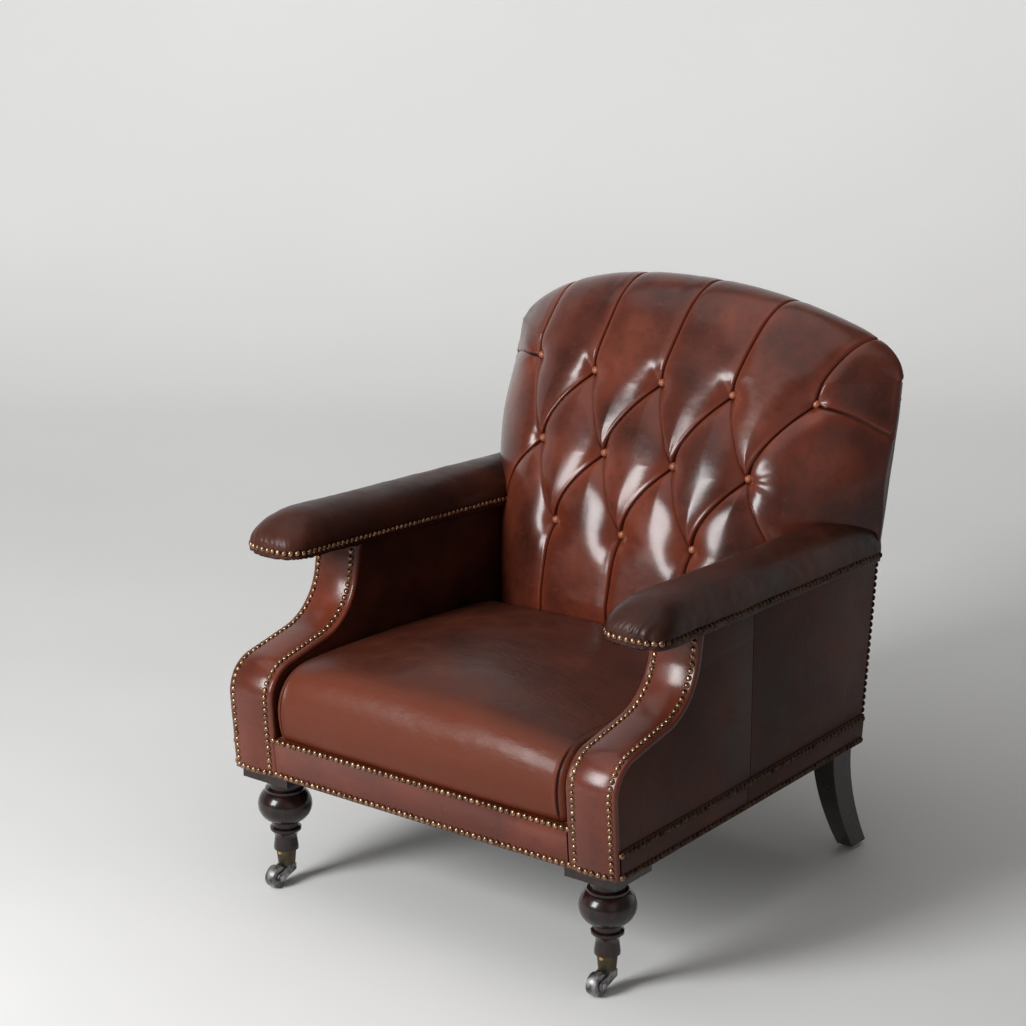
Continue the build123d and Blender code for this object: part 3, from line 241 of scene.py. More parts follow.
# Nails
NAIL_R = 0.0048
NAIL_RISE = 0.0036
NAIL_PITCH = 0.0104
NAIL_IN = 0.013  # inner nail line of the arm fronts from the edge
NAIL_OUT = 0.010  # outer nail line
NAIL_CORNER = 0.0085  # first nails of the side bands from the front
BAND_LOW = 0.202
FRONT_BAND_HIGH = 0.258
SIDE_BAND_HIGH = 0.236
NAIL_STOP = 0.012  # length without nails at both ends of an arm front together
ARM_NAIL_REAR_Z = 0.51  # height at which the rear line is taken
ARM_NAIL_REAR = 0.012  # last nails of the arm pads ahead of the rear line
ARM_NAIL_INNER = 0.10  # the inner row ends this much sooner, at the back pad
BACK_NAIL_IN = 0.001  # nails of the outside back from its edge
BACK_NAIL_LOW = 0.01
BACK_NAIL_SHOULDER = ((0.341, 0.770), (0.315, 0.789))
BACK_NAIL_SIDE_Z = 0.735  # where the upright row ends
BACK_NAIL_DROP = 0.004  # below the top
BACK_NAIL_FALL = 0.0615  # fall of the arched row at its end
BACK_NAIL_REACH = 0.318

# Looks of single nodes within their material slot: a brighter brass on the cup screws as a painted glint
NODE_LOOKS = {"cup_screws": "bright_brass"}

# Panels of each side: node, rounding of the edges and place of an upright seam
SIDE_PANELS = (("inner_arm_panel", 0.006, None), ("outer_arm_panel", 0.0018, ARM_SEAM_Y),
               ("side_band", 0.0008, ARM_SEAM_Y - 0.008))

# Stuffing
CLOTH_FRAMES = 20
STUFFING_PRESSURE = 4.0
STUFFING_BENDING = 20.0  # thick leather over a pad doesn't wrinkle as thin cloth does
STUFFING_EVENING = 60

# Camera, from the photograph's own straight lines
CAMERA_AT = (2.3898, -3.3079, 1.8348)
CAMERA_DOWN = math.radians(17.21)
CAMERA_TURN = math.radians(37.08)
CAMERA_LENS = 99.27

# Stage
STAGE_HALF = 40.0
BACKDROP_AT = 2.6  # where the floor begins to curve up
BACKDROP_RADIUS = 1.4
BACKDROP_STEPS = 16
BACKDROP_TOP = 5.0


# Meshes

def placed(name, data):
    """New object in the scene."""
    thing = bpy.data.objects.new(name, data)
    bpy.context.scene.collection.objects.link(thing)
    return thing


def smoothed(mesh):
    mesh.polygons.foreach_set("use_smooth", [True] * len(mesh.polygons))
    mesh.update()
    return mesh


def mesh_piece(name, points, faces):
    """Smooth mesh in the row frame that rides on the chair, with its faces turned outward."""
    mesh = bpy.data.meshes.new(name)
    mesh.from_pydata(np.asarray(points, float).reshape(-1, 3).tolist(), [], faces)
    work = bmesh.new()
    work.from_mesh(mesh)
    bmesh.ops.recalc_face_normals(work, faces=work.faces)
    work.to_mesh(mesh)
    work.free()
    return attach(placed(name, smoothed(mesh)), "chair")


def points_of(mesh):
    points = np.empty(3 * len(mesh.vertices))
    mesh.vertices.foreach_get("co", points)
    return points.reshape(-1, 3)


def normals_of(mesh):
    return np.array([vertex.normal for vertex in mesh.vertices])


def move_points(piece, points):
    piece.data.vertices.foreach_set("co", np.asarray(points, float).ravel())
    piece.data.update()


def evened(mesh, moved, held):
    """Movements of the points without the small wrinkles of thin cloth."""
    ends = np.empty(2 * len(mesh.edges), int)
    mesh.edges.foreach_get("vertices", ends)
    ends = ends.reshape(-1, 2)
    count = np.bincount(ends.ravel(), minlength=len(moved))[:, None]
    for _ in range(STUFFING_EVENING):
        around = np.zeros_like(moved)
        np.add.at(around, ends[:, 0], moved[ends[:, 1]])
        np.add.at(around, ends[:, 1], moved[ends[:, 0]])
        moved = np.where(held[:, None], moved, around / count)
    return moved


def filled_out(piece, held, most):
    """Swells a closed cover as cloth with pressure inside it, held at some points, and keeps that form."""
    scene = bpy.context.scene
    pins = piece.vertex_groups.new(name="held")
    pins.add([int(number) for number in np.flatnonzero(held)], 1.0, "REPLACE")
    stuffing = piece.modifiers.new("stuffing", "CLOTH")
    stuffing.settings.vertex_group_mass = pins.name
    stuffing.settings.use_pressure = True
    stuffing.settings.uniform_pressure_force = STUFFING_PRESSURE
    stuffing.settings.bending_stiffness = STUFFING_BENDING
    stuffing.settings.effector_weights.gravity = 0.0
    for number in range(1, CLOTH_FRAMES + 1):
        scene.frame_set(number)
    swollen = points_of(piece.evaluated_get(bpy.context.evaluated_depsgraph_get()).data)
    piece.modifiers.remove(stuffing)
    piece.vertex_groups.clear()
    scene.frame_set(1)
    rest = points_of(piece.data)
    moved = evened(piece.data, swollen - rest, held)
    furthest = np.linalg.norm(moved, axis=1).max()
    move_points(piece, rest + moved * min(1.0, most / furthest))


def loft(loops):
    """Points and faces of closed loops laid one after the other, with both ends closed."""
    loops = np.asarray(loops, float)
    rows, columns = loops.shape[:2]
    faces = [tuple(reversed(range(columns))), tuple(range((rows - 1) * columns, rows * columns))]
    for row in range(rows - 1):
        low, high = row * columns, (row + 1) * columns
        for column in range(columns):
            after = (column + 1) % columns
            faces.append((low + column, low + after, high + after, high + column))
    return loops.reshape(-1, 3), faces


def point_values(piece, name, values):
    """Stores one number for each point, for the material to read."""
    layer = piece.data.attributes.new(name, "FLOAT", "POINT")
    layer.data.foreach_set("value", np.asarray(values, np.float32).ravel())


def uneven(points, form, seed):
    """Smooth unevenness at each point."""
    depth, scale = form
    shift = Vector((seed * 3.7, seed * 1.9, seed * 5.3))
    return depth * np.array([noise.noise(Vector(p) * scale + shift) for p in points])


def smooth_step(value):
    value = np.clip(value, 0.0, 1.0)
    return value * value * (3 - 2 * value)


def bent(t, start, end, leave, arrive):
    """Smooth curve from start to end with its slopes at both ends, for t from 0 to 1."""
    first = start * (1 + 2 * t) * (1 - t) ** 2 + leave * t * (1 - t) ** 2
    return first + end * t * t * (3 - 2 * t) - arrive * t * t * (1 - t)


def smooth_curve(at, places, values):
    """Smooth curve through values at rising places, held level beyond the ends."""
    places, values = np.asarray(places), np.asarray(values)
    slopes = np.gradient(values, places)
    at = np.clip(at, places[0], places[-1])
    span = np.clip(np.searchsorted(places, at) - 1, 0, len(places) - 2)
    step = places[span + 1] - places[span]
    t = (at - places[span]) / step
    return bent(t, values[span], values[span + 1], slopes[span] * step, slopes[span + 1] * step)


# Lines of the chair

def rear_y(z):
    knee = REAR - (BACK_TOP_Z - KNEE_Z) * math.tan(UPPER_RAKE)
    rake = UPPER_RAKE if z > KNEE_Z else LOWER_RAKE
    return knee + (z - KNEE_Z) * math.tan(rake)


def arm_under_z(y):
    return ARM_UNDER_Z + (rear_y(ARM_UNDER_Z) - y) * math.tan(ARM_SLOPE)


class Path:
    """Points in a plane that are joined by straight lines."""

    def __init__(self, points):
        self.points = np.asarray(points)
        steps = np.linalg.norm(np.diff(self.points, axis=0), axis=1)
        self.lengths = np.concatenate([[0], np.cumsum(steps)])

    def at(self, length):
        """Point at a length along the path, or points at several."""
        return np.stack([np.interp(length, self.lengths, axis) for axis in self.points.T], axis=-1)

    def even(self, count):
        """Lengths that part the path into even steps."""
        return np.linspace(0, self.lengths[-1], count + 1)

    def nail_lengths(self):
        return self.even(round(self.lengths[-1] / NAIL_PITCH))


def rounded(corners, radii):
    """Lines and arcs through (y, z) corners that are rounded off: length, start, way and turn of each."""
    corners = [Vector(c) for c in corners]
    spans = []
    start = corners[0]
    for before, corner, after, radius in zip(corners, corners[1:], corners[2:], radii):
        into, out = (corner - before).normalized(), (after - corner).normalized()
        turn = into.angle_signed(out)
        reach = radius * math.tan(abs(turn) / 2)
        first = corner - into * reach
        spans.append(((first - start).length, start, into, 0.0))
        spans.append((radius * abs(turn), first, into, turn))
        start = corner + out * reach
    spans.append(((corners[-1] - start).length, start, (corners[-1] - start).normalized(), 0.0))
    return spans


def along_spans(spans, length):
    """Point and direction at that length along the spans."""
    for span in spans:
        whole, start, way, turn = span
        if length <= whole or span is spans[-1]:
            break
        length -= whole
    if not turn:
        return start + way * length, way
    side = Vector((-way.y, way.x)) * math.copysign(1, -turn)
    centre = start + side * (whole / abs(turn))
    spin = Matrix.Rotation(-turn * length / whole, 2)
    return centre + spin @ (start - centre), spin @ way


def front_spans():
    """S-shaped front line of an arm, from the base to the underside of the arm board."""
    foot = (FRONT + FOOT_SETBACK, BASE_Z)
    belly = (FRONT - BELLY_REACH, BELLY_Z)
    waist = (FRONT + WAIST_BACK, WAIST_Z)
    lean = math.tan(HEAD_LEAN)
    head_z = (arm_under_z(waist[0]) + WAIST_Z * lean * math.tan(ARM_SLOPE)) / (1 + lean * math.tan(ARM_SLOPE))
    head = (waist[0] + (head_z - WAIST_Z) * lean, head_z)
    return rounded((foot, belly, waist, head), (BELLY_RADIUS, WAIST_RADIUS))


FRONT_SPANS = front_spans()
FRONT_LENGTH = sum(length for length, *_ in FRONT_SPANS)


def front_point(length):
    """Point on the S-shaped line and its outward direction, in (y, z)."""
    point, way = along_spans(FRONT_SPANS, length)
    return point, Vector((-way.y, way.x))


# Tufted back

def pad_front_y(x, z):
    """Front of the back before it is buttoned."""
    rear = rear_y(max(z, PAD_LEVELS[0])) - PANEL_REAR
    depth = rear - smooth_curve(z, PAD_LEVELS, PAD_FRONTS)
    fall = smooth_curve(z, PAD_LEVELS, PAD_FALLS)
    return rear - np.maximum(PAD_EDGE, depth * (1 - fall * np.abs(x / PAD_HALF) ** FALL_POWER))


def crest_radius(share):
    """Distance of the crest from its pivot line, which carries on the lean of the front without a kink."""
    lean = (PAD_FRONTS[-1] - PAD_FRONTS[-2]) / (PAD_LEVELS[-1] - PAD_LEVELS[-2])
    leave, arrive = -lean * PAD_PIVOT_DEPTH, -CREST_DRAW_IN * PAD_CREST_HEIGHT
    return bent(share, PAD_PIVOT_DEPTH, PAD_CREST_HEIGHT, leave * CREST_TURN, arrive * CREST_TURN)


def row_places(row):
    """Buttons of a row across the back."""
    return [(column - (ROW_COUNT[row] - 1) / 2) * BUTTON_PITCH for column in range(ROW_COUNT[row])]


def crest_share(height):
    return np.clip((height - PAD_PIVOT_Z) / CREST_LENGTH, 0, 1)


def crest_pleat(x, height):
    """Place of a crest pleat that starts at x, at a height that is measured on over the crest."""
    share = np.clip((height - ROW_Z[0]) / (PAD_PIVOT_Z + CREST_LENGTH - ROW_Z[0]), 0, 1)
    return x * (1 + share * (CREST_SPREAD - 1)) + CREST_LEAN * share


def diamond_pleats():
    """Pleats between the buttons, from their lower to their upper ends, with the depth at the lower one."""
    pleats = []
    for x in row_places(1):
        for side in (-BUTTON_PITCH / 2, BUTTON_PITCH / 2):
            pleats.append(((x, ROW_Z[1]), (x + side, ROW_Z[0]), PLEAT_DEEP))
            lower = PLEAT_DEEP if abs(x + side) < 1.1 * BUTTON_PITCH else PLEAT_SHALLOW
            pleats.append(((x + side, ROW_Z[2]), (x, ROW_Z[1]), lower))
    return pleats


def bow(share, lapped):
    """How far a pleat stands to the left of a straight line between its buttons."""
    return (LAPPED_BOW if lapped else OPEN_BOW) * 4 * share * (1 - share)


def pleat_marks(z):
    """Places across the back where columns of points follow the pleats at height z."""
    phase = float(np.interp(z, ROW_Z[::-1], (2.0, 1.0, 0.0)))
    to_odd = 1 - abs(1 - phase)
    marks = []
    for column in range(-5, 5):
        left, right = column * BUTTON_PITCH / 2, (column + 1) * BUTTON_PITCH / 2
        at_even = left + MARK_HALF if column % 2 == 0 else right - MARK_HALF
        at_odd = left + MARK_HALF if column % 2 else right - MARK_HALF
        lapped = (column % 2 == 1) == (phase < 1)
        marks.append(at_even + to_odd * (at_odd - at_even) - bow(to_odd, lapped))
    return crest_pleat(np.array(marks), z)


def pad_halves(z):
    """Half widths of the back to the left and right: narrow between the arms, drawn in at the shoulders."""
    hidden = float(np.interp(z, PAD_HIDDEN_Z, (PAD_HIDDEN_HALF, PAD_HALF)))
    low, high = PAD_SHOULDER_Z
    drawn_in = float(smooth_step((z - low) / (high - low))) ** 2
    return [min(hidden, PAD_HALF - (PAD_HALF - half) * drawn_in) for half in PAD_SHOULDER_HALVES]


def pad_columns(marks, halves):
    """Places across the back, close together at the pleats."""
    inside = (1 - np.cos(np.linspace(0, math.pi, STRIP_COLUMNS + 1)[:-1])) / 2
    places = [x0 + inside * (x1 - x0) for x0, x1 in zip(marks, marks[1:])]
    side = np.linspace(0, 1, SIDE_COLUMNS + 1) ** 0.8
    left = -PAD_HALF + side * (marks[0] + PAD_HALF)
    right = marks[-1] + (1 - side[::-1]) * (PAD_HALF - marks[-1])
    x = np.concatenate([left[:-1]] + places + [right])
    half = np.where(x < 0, halves[0], halves[1])
    last = np.where(x < 0, -marks[0], marks[-1])
    drawn_in = np.sign(x) * np.maximum(np.abs(x) - last, 0.0) * (PAD_HALF - half) / (PAD_HALF - last)
    return np.where(half < last, np.clip(x, -half, half), x - drawn_in)


def puffed(away, width):
    """Share of a pleat's depth at a distance from it."""
    near = 1 - np.clip(away / width, 0, 1)
    return 1 - (1 - near ** 2) ** PUFF_ROUND


def bell(value, width):
    return np.exp(-(value / width) ** 2)


class Relief:
    """Depth of the buttoned leather at points (x, height) of the back, with the painted shade of its creases
    and buttons and the edges where it is rubbed.
    """

    def __init__(self, x, height):
        self.x, self.height = x, height
        self.valleys, self.fine, self.fold_and_shade, self.wear_and_light = np.zeros((4, len(x)))
        self.add_diamonds()
        for place in row_places(0):
            self.add_upright(place, True)
        for place in row_places(2):
            self.add_upright(place, False)
        for side in (-1, 1):
            self.add_side_pleat(side)
            self.add_wrinkles(side)
        for place, strength in zip(row_places(0)[1:4], TUCK_STRENGTHS):
            self.add_tuck(place, strength)
        self.add_funnels()

    def crease(self, beside, strength, lip, wide=1.0):
        """Narrow crease along a pleat, with the leather of its left side lapped over it, painted shade along it
        and rubbed leather beside it.
        """
        self.fine += strength * wide * GROOVE_DEEP * bell(beside, wide * GROOVE_HALF)
        self.fine -= strength * lip * LIP_RISE * bell(beside + LIP_BESIDE, LIP_WIDTH)
        # painted shade along the crease
        self.fold_and_shade = np.maximum(self.fold_and_shade, strength * bell(beside - SHADE_BESIDE, wide * SHADE_HALF))
        rubbed = np.minimum(1.0, strength * RUBBED_GAIN) * np.exp(-np.abs(beside) / RUBBED_REACH)
        self.wear_and_light = np.maximum(self.wear_and_light, rubbed)

    def add_diamonds(self):
        nearest = np.full_like(self.x, FAR)
        depth = np.zeros_like(self.x)
        for (x0, z0), (x1, z1), lower in diamond_pleats():
            length = math.hypot(x1 - x0, z1 - z0)
            way = ((x1 - x0) / length, (z1 - z0) / length)
            along = (self.x - x0) * way[0] + (self.height - z0) * way[1]
            beside = (self.x - x0) * way[1] - (self.height - z0) * way[0]
            past = np.maximum(np.maximum(-along, along - length), 0.0)
            lapped = x1 > x0
            share = np.clip((self.height - z0) / (z1 - z0), 0, 1)
            beside = beside + way[1] * bow(share, lapped)
            away = np.hypot(beside, past)
            end = lower + (PLEAT_DEEP - lower) * share
            here = PLEAT_SHALLOW + (end - PLEAT_SHALLOW) * np.abs(2 * share - 1) ** PLEAT_POWER
            closer = away < nearest
            depth = np.where(closer, here, depth)
            nearest = np.where(closer, away, nearest)
            strength = (1.0 if lapped else OPEN_FOLD) * bell(past, PLEAT_END)
            self.crease(np.where(past > 2 * PLEAT_END, FAR, beside), strength, float(lapped))
        self.valleys = depth * puffed(nearest, PUFF_WIDTH)

    def add_valley(self, valley):
        """Runs a valley softly into those that are there."""
        self.valleys = (self.valleys ** 8 + valley ** 8) ** 0.125

    def add_upright(self, place, upward):
        """Pleat from a button over the crest, or down to the seat."""
        if upward:
            beyond, least, fade = self.height - ROW_Z[0], CREST_PLEAT, CREST_FADE
        else:
            beyond, least, fade = ROW_Z[2] - self.height, LOW_PLEAT, LOW_FADE
        on = beyond >= 0
        near = np.exp(-np.maximum(beyond, 0) / fade)
        beside = self.x - (crest_pleat(place, self.height) if upward else place)
        over = crest_share(self.height)
        deep = least * (1 - CREST_THINNING * over) + (PLEAT_DEEP - least) * near
        width = NARROW_PLEAT + (PUFF_WIDTH - NARROW_PLEAT) * near
        self.add_valley(np.where(on, deep * puffed(np.abs(beside), width), 0.0))
        self.crease(np.where(on, beside, FAR), UPRIGHT_FOLD - UPRIGHT_THINNING * over, 1.0)

    def add_side_pleat(self, side):
        """Pleat from an end of the top row out to the side of the back."""
        start = 2 * BUTTON_PITCH
        share = np.clip((side * self.x - start) / (PAD_HALF - start), 0, 1)
        drop = SIDE_PLEAT_DROP * (1 + SIDE_PLEAT_SKEW * side)
        line = ROW_Z[0] + SIDE_PLEAT_RISE * np.sin(share * math.pi) - drop * share ** 1.6
        on = side * self.x > start
        deep = SIDE_PLEAT * (1 - 0.6 * share) + SIDE_PLEAT_START * np.exp(-share * 6)
        self.add_valley(np.where(on, deep * puffed(np.abs(self.height - line), SIDE_PLEAT_WIDTH), 0.0))
        self.crease(np.where(on, line - self.height, FAR), 1.0 - 0.2 * share, 1.0, SIDE_PLEAT_WIDE)

    def add_wrinkles(self, side):
        """Short wrinkles that fan out from an end button of the middle row."""
        dx = side * self.x - 1.5 * BUTTON_PITCH
        dz = self.height - ROW_Z[1]
        turn = np.arctan2(dz, np.maximum(dx, 1e-6))
        reach = np.hypot(dx, dz)
        fan = bell(turn - 0.1, 0.65) * (dx > 0) * bell(reach - WRINKLE_REACH, WRINKLE_SPREAD)
        self.fine += WRINKLE_DEPTHS[side] * fan * (1 + np.cos(turn * 8 + 30 * reach))

    def add_tuck(self, place, strength):
        """Short fold beside a crest pleat, just above its button."""
        share = np.clip((self.height - ROW_Z[0]) / TUCK_HEIGHT, 0, 1)
        line = place - TUCK_LEAN * share ** 0.8
        on = bell(share - 0.45, 0.36) * (self.height > ROW_Z[0])
        self.fine += strength * TUCK_DEEP * on * bell(self.x - line, TUCK_WIDTH)

    def add_funnels(self):
        """Dips round the buttons."""
        for row, z in enumerate(ROW_Z):
            for place in row_places(row):
                away = np.hypot(self.x - place, self.height - z)
                self.fine += FUNNEL_DEEP * np.exp(-away / FUNNEL_WIDTH)
                # painted shade round each button
                self.fold_and_shade = np.maximum(self.fold_and_shade, 0.5 * bell(away, BUTTON_SHADE))
                self.wear_and_light = np.maximum(self.wear_and_light, bell(away, BUTTON_RUBBED))

    def depth(self):
        return self.valleys + self.fine


def back_levels():
    """Heights of the loops up to the crest, close together at the side pleats of the top row."""
    low, high = ROW_Z[0] - 1.4 * SIDE_PLEAT_DROP, ROW_Z[0] + 2 * SIDE_PLEAT_RISE
    fine = LEVEL_STEP / 3
    return np.concatenate([np.arange(PAD_BOTTOM_Z, low, LEVEL_STEP), np.arange(low, high, fine),
                           np.arange(high, PAD_PIVOT_Z - fine, LEVEL_STEP)])


def back_stations():
    """Loops of the back cover from the seat over the crest to the rear, with the painted shade of its creases
    and the edges where it is rubbed.
    """
    loops, fold_shades, wear_and_light = [], [], []
    blank = np.zeros(REAR_COLUMNS)

    def add(front, halves, rear, z, relief):
        across = np.linspace(halves[1], -halves[0], REAR_COLUMNS)
        back = np.stack([across, np.full_like(across, rear), np.full_like(across, z)], axis=1)
        loops.append(np.concatenate([front, back]))
        fold_shades.append(np.concatenate([relief.fold_and_shade, blank]))
        wear_and_light.append(np.concatenate([relief.wear_and_light, blank]))

    for z in back_levels():
        halves = pad_halves(z)
        x = pad_columns(pleat_marks(z), halves)
        relief = Relief(x, np.full_like(x, z))
        rear = rear_y(z) - PANEL_REAR
        y = np.minimum(pad_front_y(x, z) + relief.depth(), rear - PAD_LEAST)
        add(np.stack([x, y, np.full_like(x, z)], axis=1), halves, rear, z, relief)
    pivot_y = rear_y(PAD_PIVOT_Z) - PANEL_REAR
    steps = int(CREST_LENGTH / LEVEL_STEP)
    for step in range(steps + 1):
        share = step / steps
        height = PAD_PIVOT_Z + share * CREST_LENGTH
        x = pad_columns(pleat_marks(height), PAD_SHOULDER_HALVES)
        relief = Relief(x, np.full_like(x, height))
        fall = PAD_FALLS[-1] + share ** CREST_FALL_LATE * (CREST_FALL - PAD_FALLS[-1])
        power = FALL_POWER + share * (CREST_POWER - FALL_POWER)
        corner = np.abs(x) / np.where(x < 0, *PAD_SHOULDER_HALVES)
        rounding = np.sqrt(np.maximum(0.0, 1 - corner ** np.where(x < 0, *CORNER_POWERS)))
        surface = np.maximum(PAD_EDGE, crest_radius(share) * (1 - fall * np.abs(x / PAD_HALF) ** power))
        surface = np.maximum(PAD_EDGE, surface * (1 - share + share * rounding))
        distance = np.maximum(surface - relief.depth(), PAD_LEAST)
        far, up = math.cos(share * CREST_TURN), math.sin(share * CREST_TURN)
        front = np.stack([x, pivot_y - distance * far, PAD_PIVOT_Z + distance * up], axis=1)
        add(front, PAD_SHOULDER_HALVES, pivot_y - CREST_CORE * far, PAD_PIVOT_Z + CREST_CORE * up, relief)
    return loops, fold_shades, wear_and_light


def button_places():
    """Middle of each button's seat with its outward direction."""
    places = []
    for row, z in enumerate(ROW_Z):
        above, below = ROW_Z[max(0, row - 1)], ROW_Z[min(2, row + 1)]
        lean = (pad_front_y(0.0, above) - pad_front_y(0.0, below)) / (above - below)
        outward = Vector((0, -1, float(lean))).normalized()
        for x in row_places(row):
            places.append((Vector((x, float(pad_front_y(x, z)) + TUFT_DEPTH, z)), outward))
    return places


def make_back():
    loops, fold_shades, wear_and_light = back_stations()
    points, faces = loft(loops)
    tufts = np.array([place for place, _ in button_places()])
    near = np.min(np.linalg.norm(points[:, None, :] - tufts[None, :, :], axis=2), axis=1)
    soft = uneven(points, BACK_UNEVEN, 1) + np.exp(-near / TUFT_REACH) * uneven(points, TUFT_UNEVEN, 2)
    back = mesh_piece("back_cover", points + np.outer(soft, (0.0, -1.0, 0.3)), faces)
    # painted shade in the creases and round the buttons, for the material to read
    point_values(back, "fold_and_shade", np.concatenate(fold_shades))
    point_values(back, "wear_and_light", np.concatenate(wear_and_light))
    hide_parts("back_pad")
    return back


def dome(rise, radius, rings, segments):
    """Points and faces of a dome that faces +Z, with its rim closed."""
    points = [(0.0, 0.0, rise)]
    for ring in range(1, rings + 1):
        angle = ring / rings * math.pi / 2
        out, up = radius * math.sin(angle), rise * math.cos(angle)
        for segment in range(segments):
            turn = segment / segments * 2 * math.pi
            points.append((out * math.cos(turn), out * math.sin(turn), up))
    faces = [(0, 1 + s, 1 + (s + 1) % segments) for s in range(segments)]
    for ring in range(rings - 1):
        low, high = 1 + ring * segments, 1 + (ring + 1) * segments
        for s in range(segments):
            after = (s + 1) % segments
            faces.append((low + s, high + s, high + after, low + after))
    base = 1 + (rings - 1) * segments
    faces.append(tuple(reversed(range(base, base + segments))))
    return np.array(points), faces


def scattered(name, form, places):
    """One piece made of copies of a form, each at a point and facing outward."""
    points, faces = form
    all_points, all_faces = [], []
    for place, outward in places:
        turn = Vector(outward).to_track_quat("Z", "Y").to_matrix()
        start = len(all_points) * len(points)
        all_points.append(points @ np.array(turn).T + np.array(place))
        all_faces.extend(tuple(i + start for i in face) for face in faces)
    return mesh_piece(name, np.concatenate(all_points), all_faces)


def make_buttons():
    places = [(place + outward * BUTTON_OUT, outward) for place, outward in button_places()]
    buttons = scattered("buttons", dome(BUTTON_RISE, BUTTON_R, 6, 24), places)
    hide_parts("back_buttons")
    return buttons


# Seat

def arc_points(start, middle, end, count):
    """Points along the circle through three (y, z) points, without the last."""
    a, b, c = (complex(*point) for point in (start, middle, end))
    ratio = (c - a) / (b - a)
    centre = a + (b - a) * (ratio - abs(ratio) ** 2) / (2j * ratio.imag)
    by_middle, by_end = (np.angle((point - centre) / (a - centre)) % (2 * math.pi) for point in (b, c))
    turn = by_end if by_middle <= by_end else by_end - 2 * math.pi
    points = centre + (a - centre) * np.exp(1j * np.linspace(0, turn, count + 1)[:-1])
    return np.stack([points.real, points.imag], axis=1)


def line_points(start, end, count):
    share = np.linspace(0, 1, count + 1)[:-1, None]
    return np.array(start) * (1 - share) + np.array(end) * share


def seat_loop(x):
    """Side outline of the seat at x."""
    crown = 1 - abs(x / SEAT_HALF) ** SEAT_CROWN_POWER
    edge = max(0.0, (abs(x) - SEAT_HALF + SEAT_EDGE_ROUND) / SEAT_EDGE_ROUND)
    sunk = SEAT_EDGE_ROUND * (1 - math.sqrt(max(0.0, 1 - edge ** 2)))
    rear = float(pad_front_y(x, PAD_LEVELS[0])) + SEAT_BEHIND
    front_z = SEAT_FRONT_Z + SEAT_FRONT_CROWN * crown - sunk
    rear_z = SEAT_REAR_Z + SEAT_REAR_CROWN * crown - sunk
    foot = FRONT + FOOT_SETBACK - SEAT_BULGE / 2 + SEAT_DRAW_IN * (1 - crown) + sunk
    face = foot - SEAT_BULGE
    roll_z, roll_y = front_z - SEAT_ROLL, face + SEAT_ROLL
    bend = SEAT_ROLL * (1 - math.sqrt(0.5))
    swell = (foot + face) / 2 - SEAT_BULGE / 2
    top = ((roll_y + rear) / 2, (front_z + rear_z) / 2 + SEAT_ARCH)
    under, low = (foot + SEAT_TUCK, SEAT_BOTTOM), (foot, SEAT_BOTTOM + SEAT_TUCK)
    behind, down = (rear - SEAT_REAR_ROUND, rear_z), (rear, rear_z - SEAT_REAR_ROUND)
    outline = eased(np.concatenate([
        line_points((rear, SEAT_BOTTOM), under, 6),
        arc_points(under, (foot + SEAT_TUCK * 0.25, SEAT_BOTTOM + SEAT_TUCK * 0.3), low, 5),
        arc_points(low, (swell, (SEAT_BOTTOM + roll_z) / 2), (face, roll_z), 14),
        arc_points((face, roll_z), (face + bend, front_z - bend), (roll_y, front_z), 16),
        arc_points((roll_y, front_z), top, behind, 60),
        arc_points(behind, (rear - SEAT_REAR_BEND, rear_z - SEAT_REAR_BEND), down, 5),
        line_points(down, (rear, SEAT_BOTTOM), 8),
    ]))
    return np.column_stack([np.full(len(outline), x), outline])


def eased(outline):
    """Closed outline with even steps whose upper bends run softly into one another."""
    path = Path(np.concatenate([outline, outline[:1]]))
    points = path.at(path.even(OUTLINE_POINTS)[:-1])
    free = smooth_step((points[:, 1] - SEAT_BOTTOM - SEAT_FLAT) / 0.02)[:, None]
    for _ in range(OUTLINE_SMOOTHING):
        between = (np.roll(points, 1, axis=0) + np.roll(points, -1, axis=0)) / 2
        points = points + 0.5 * free * (between - points)
    return points


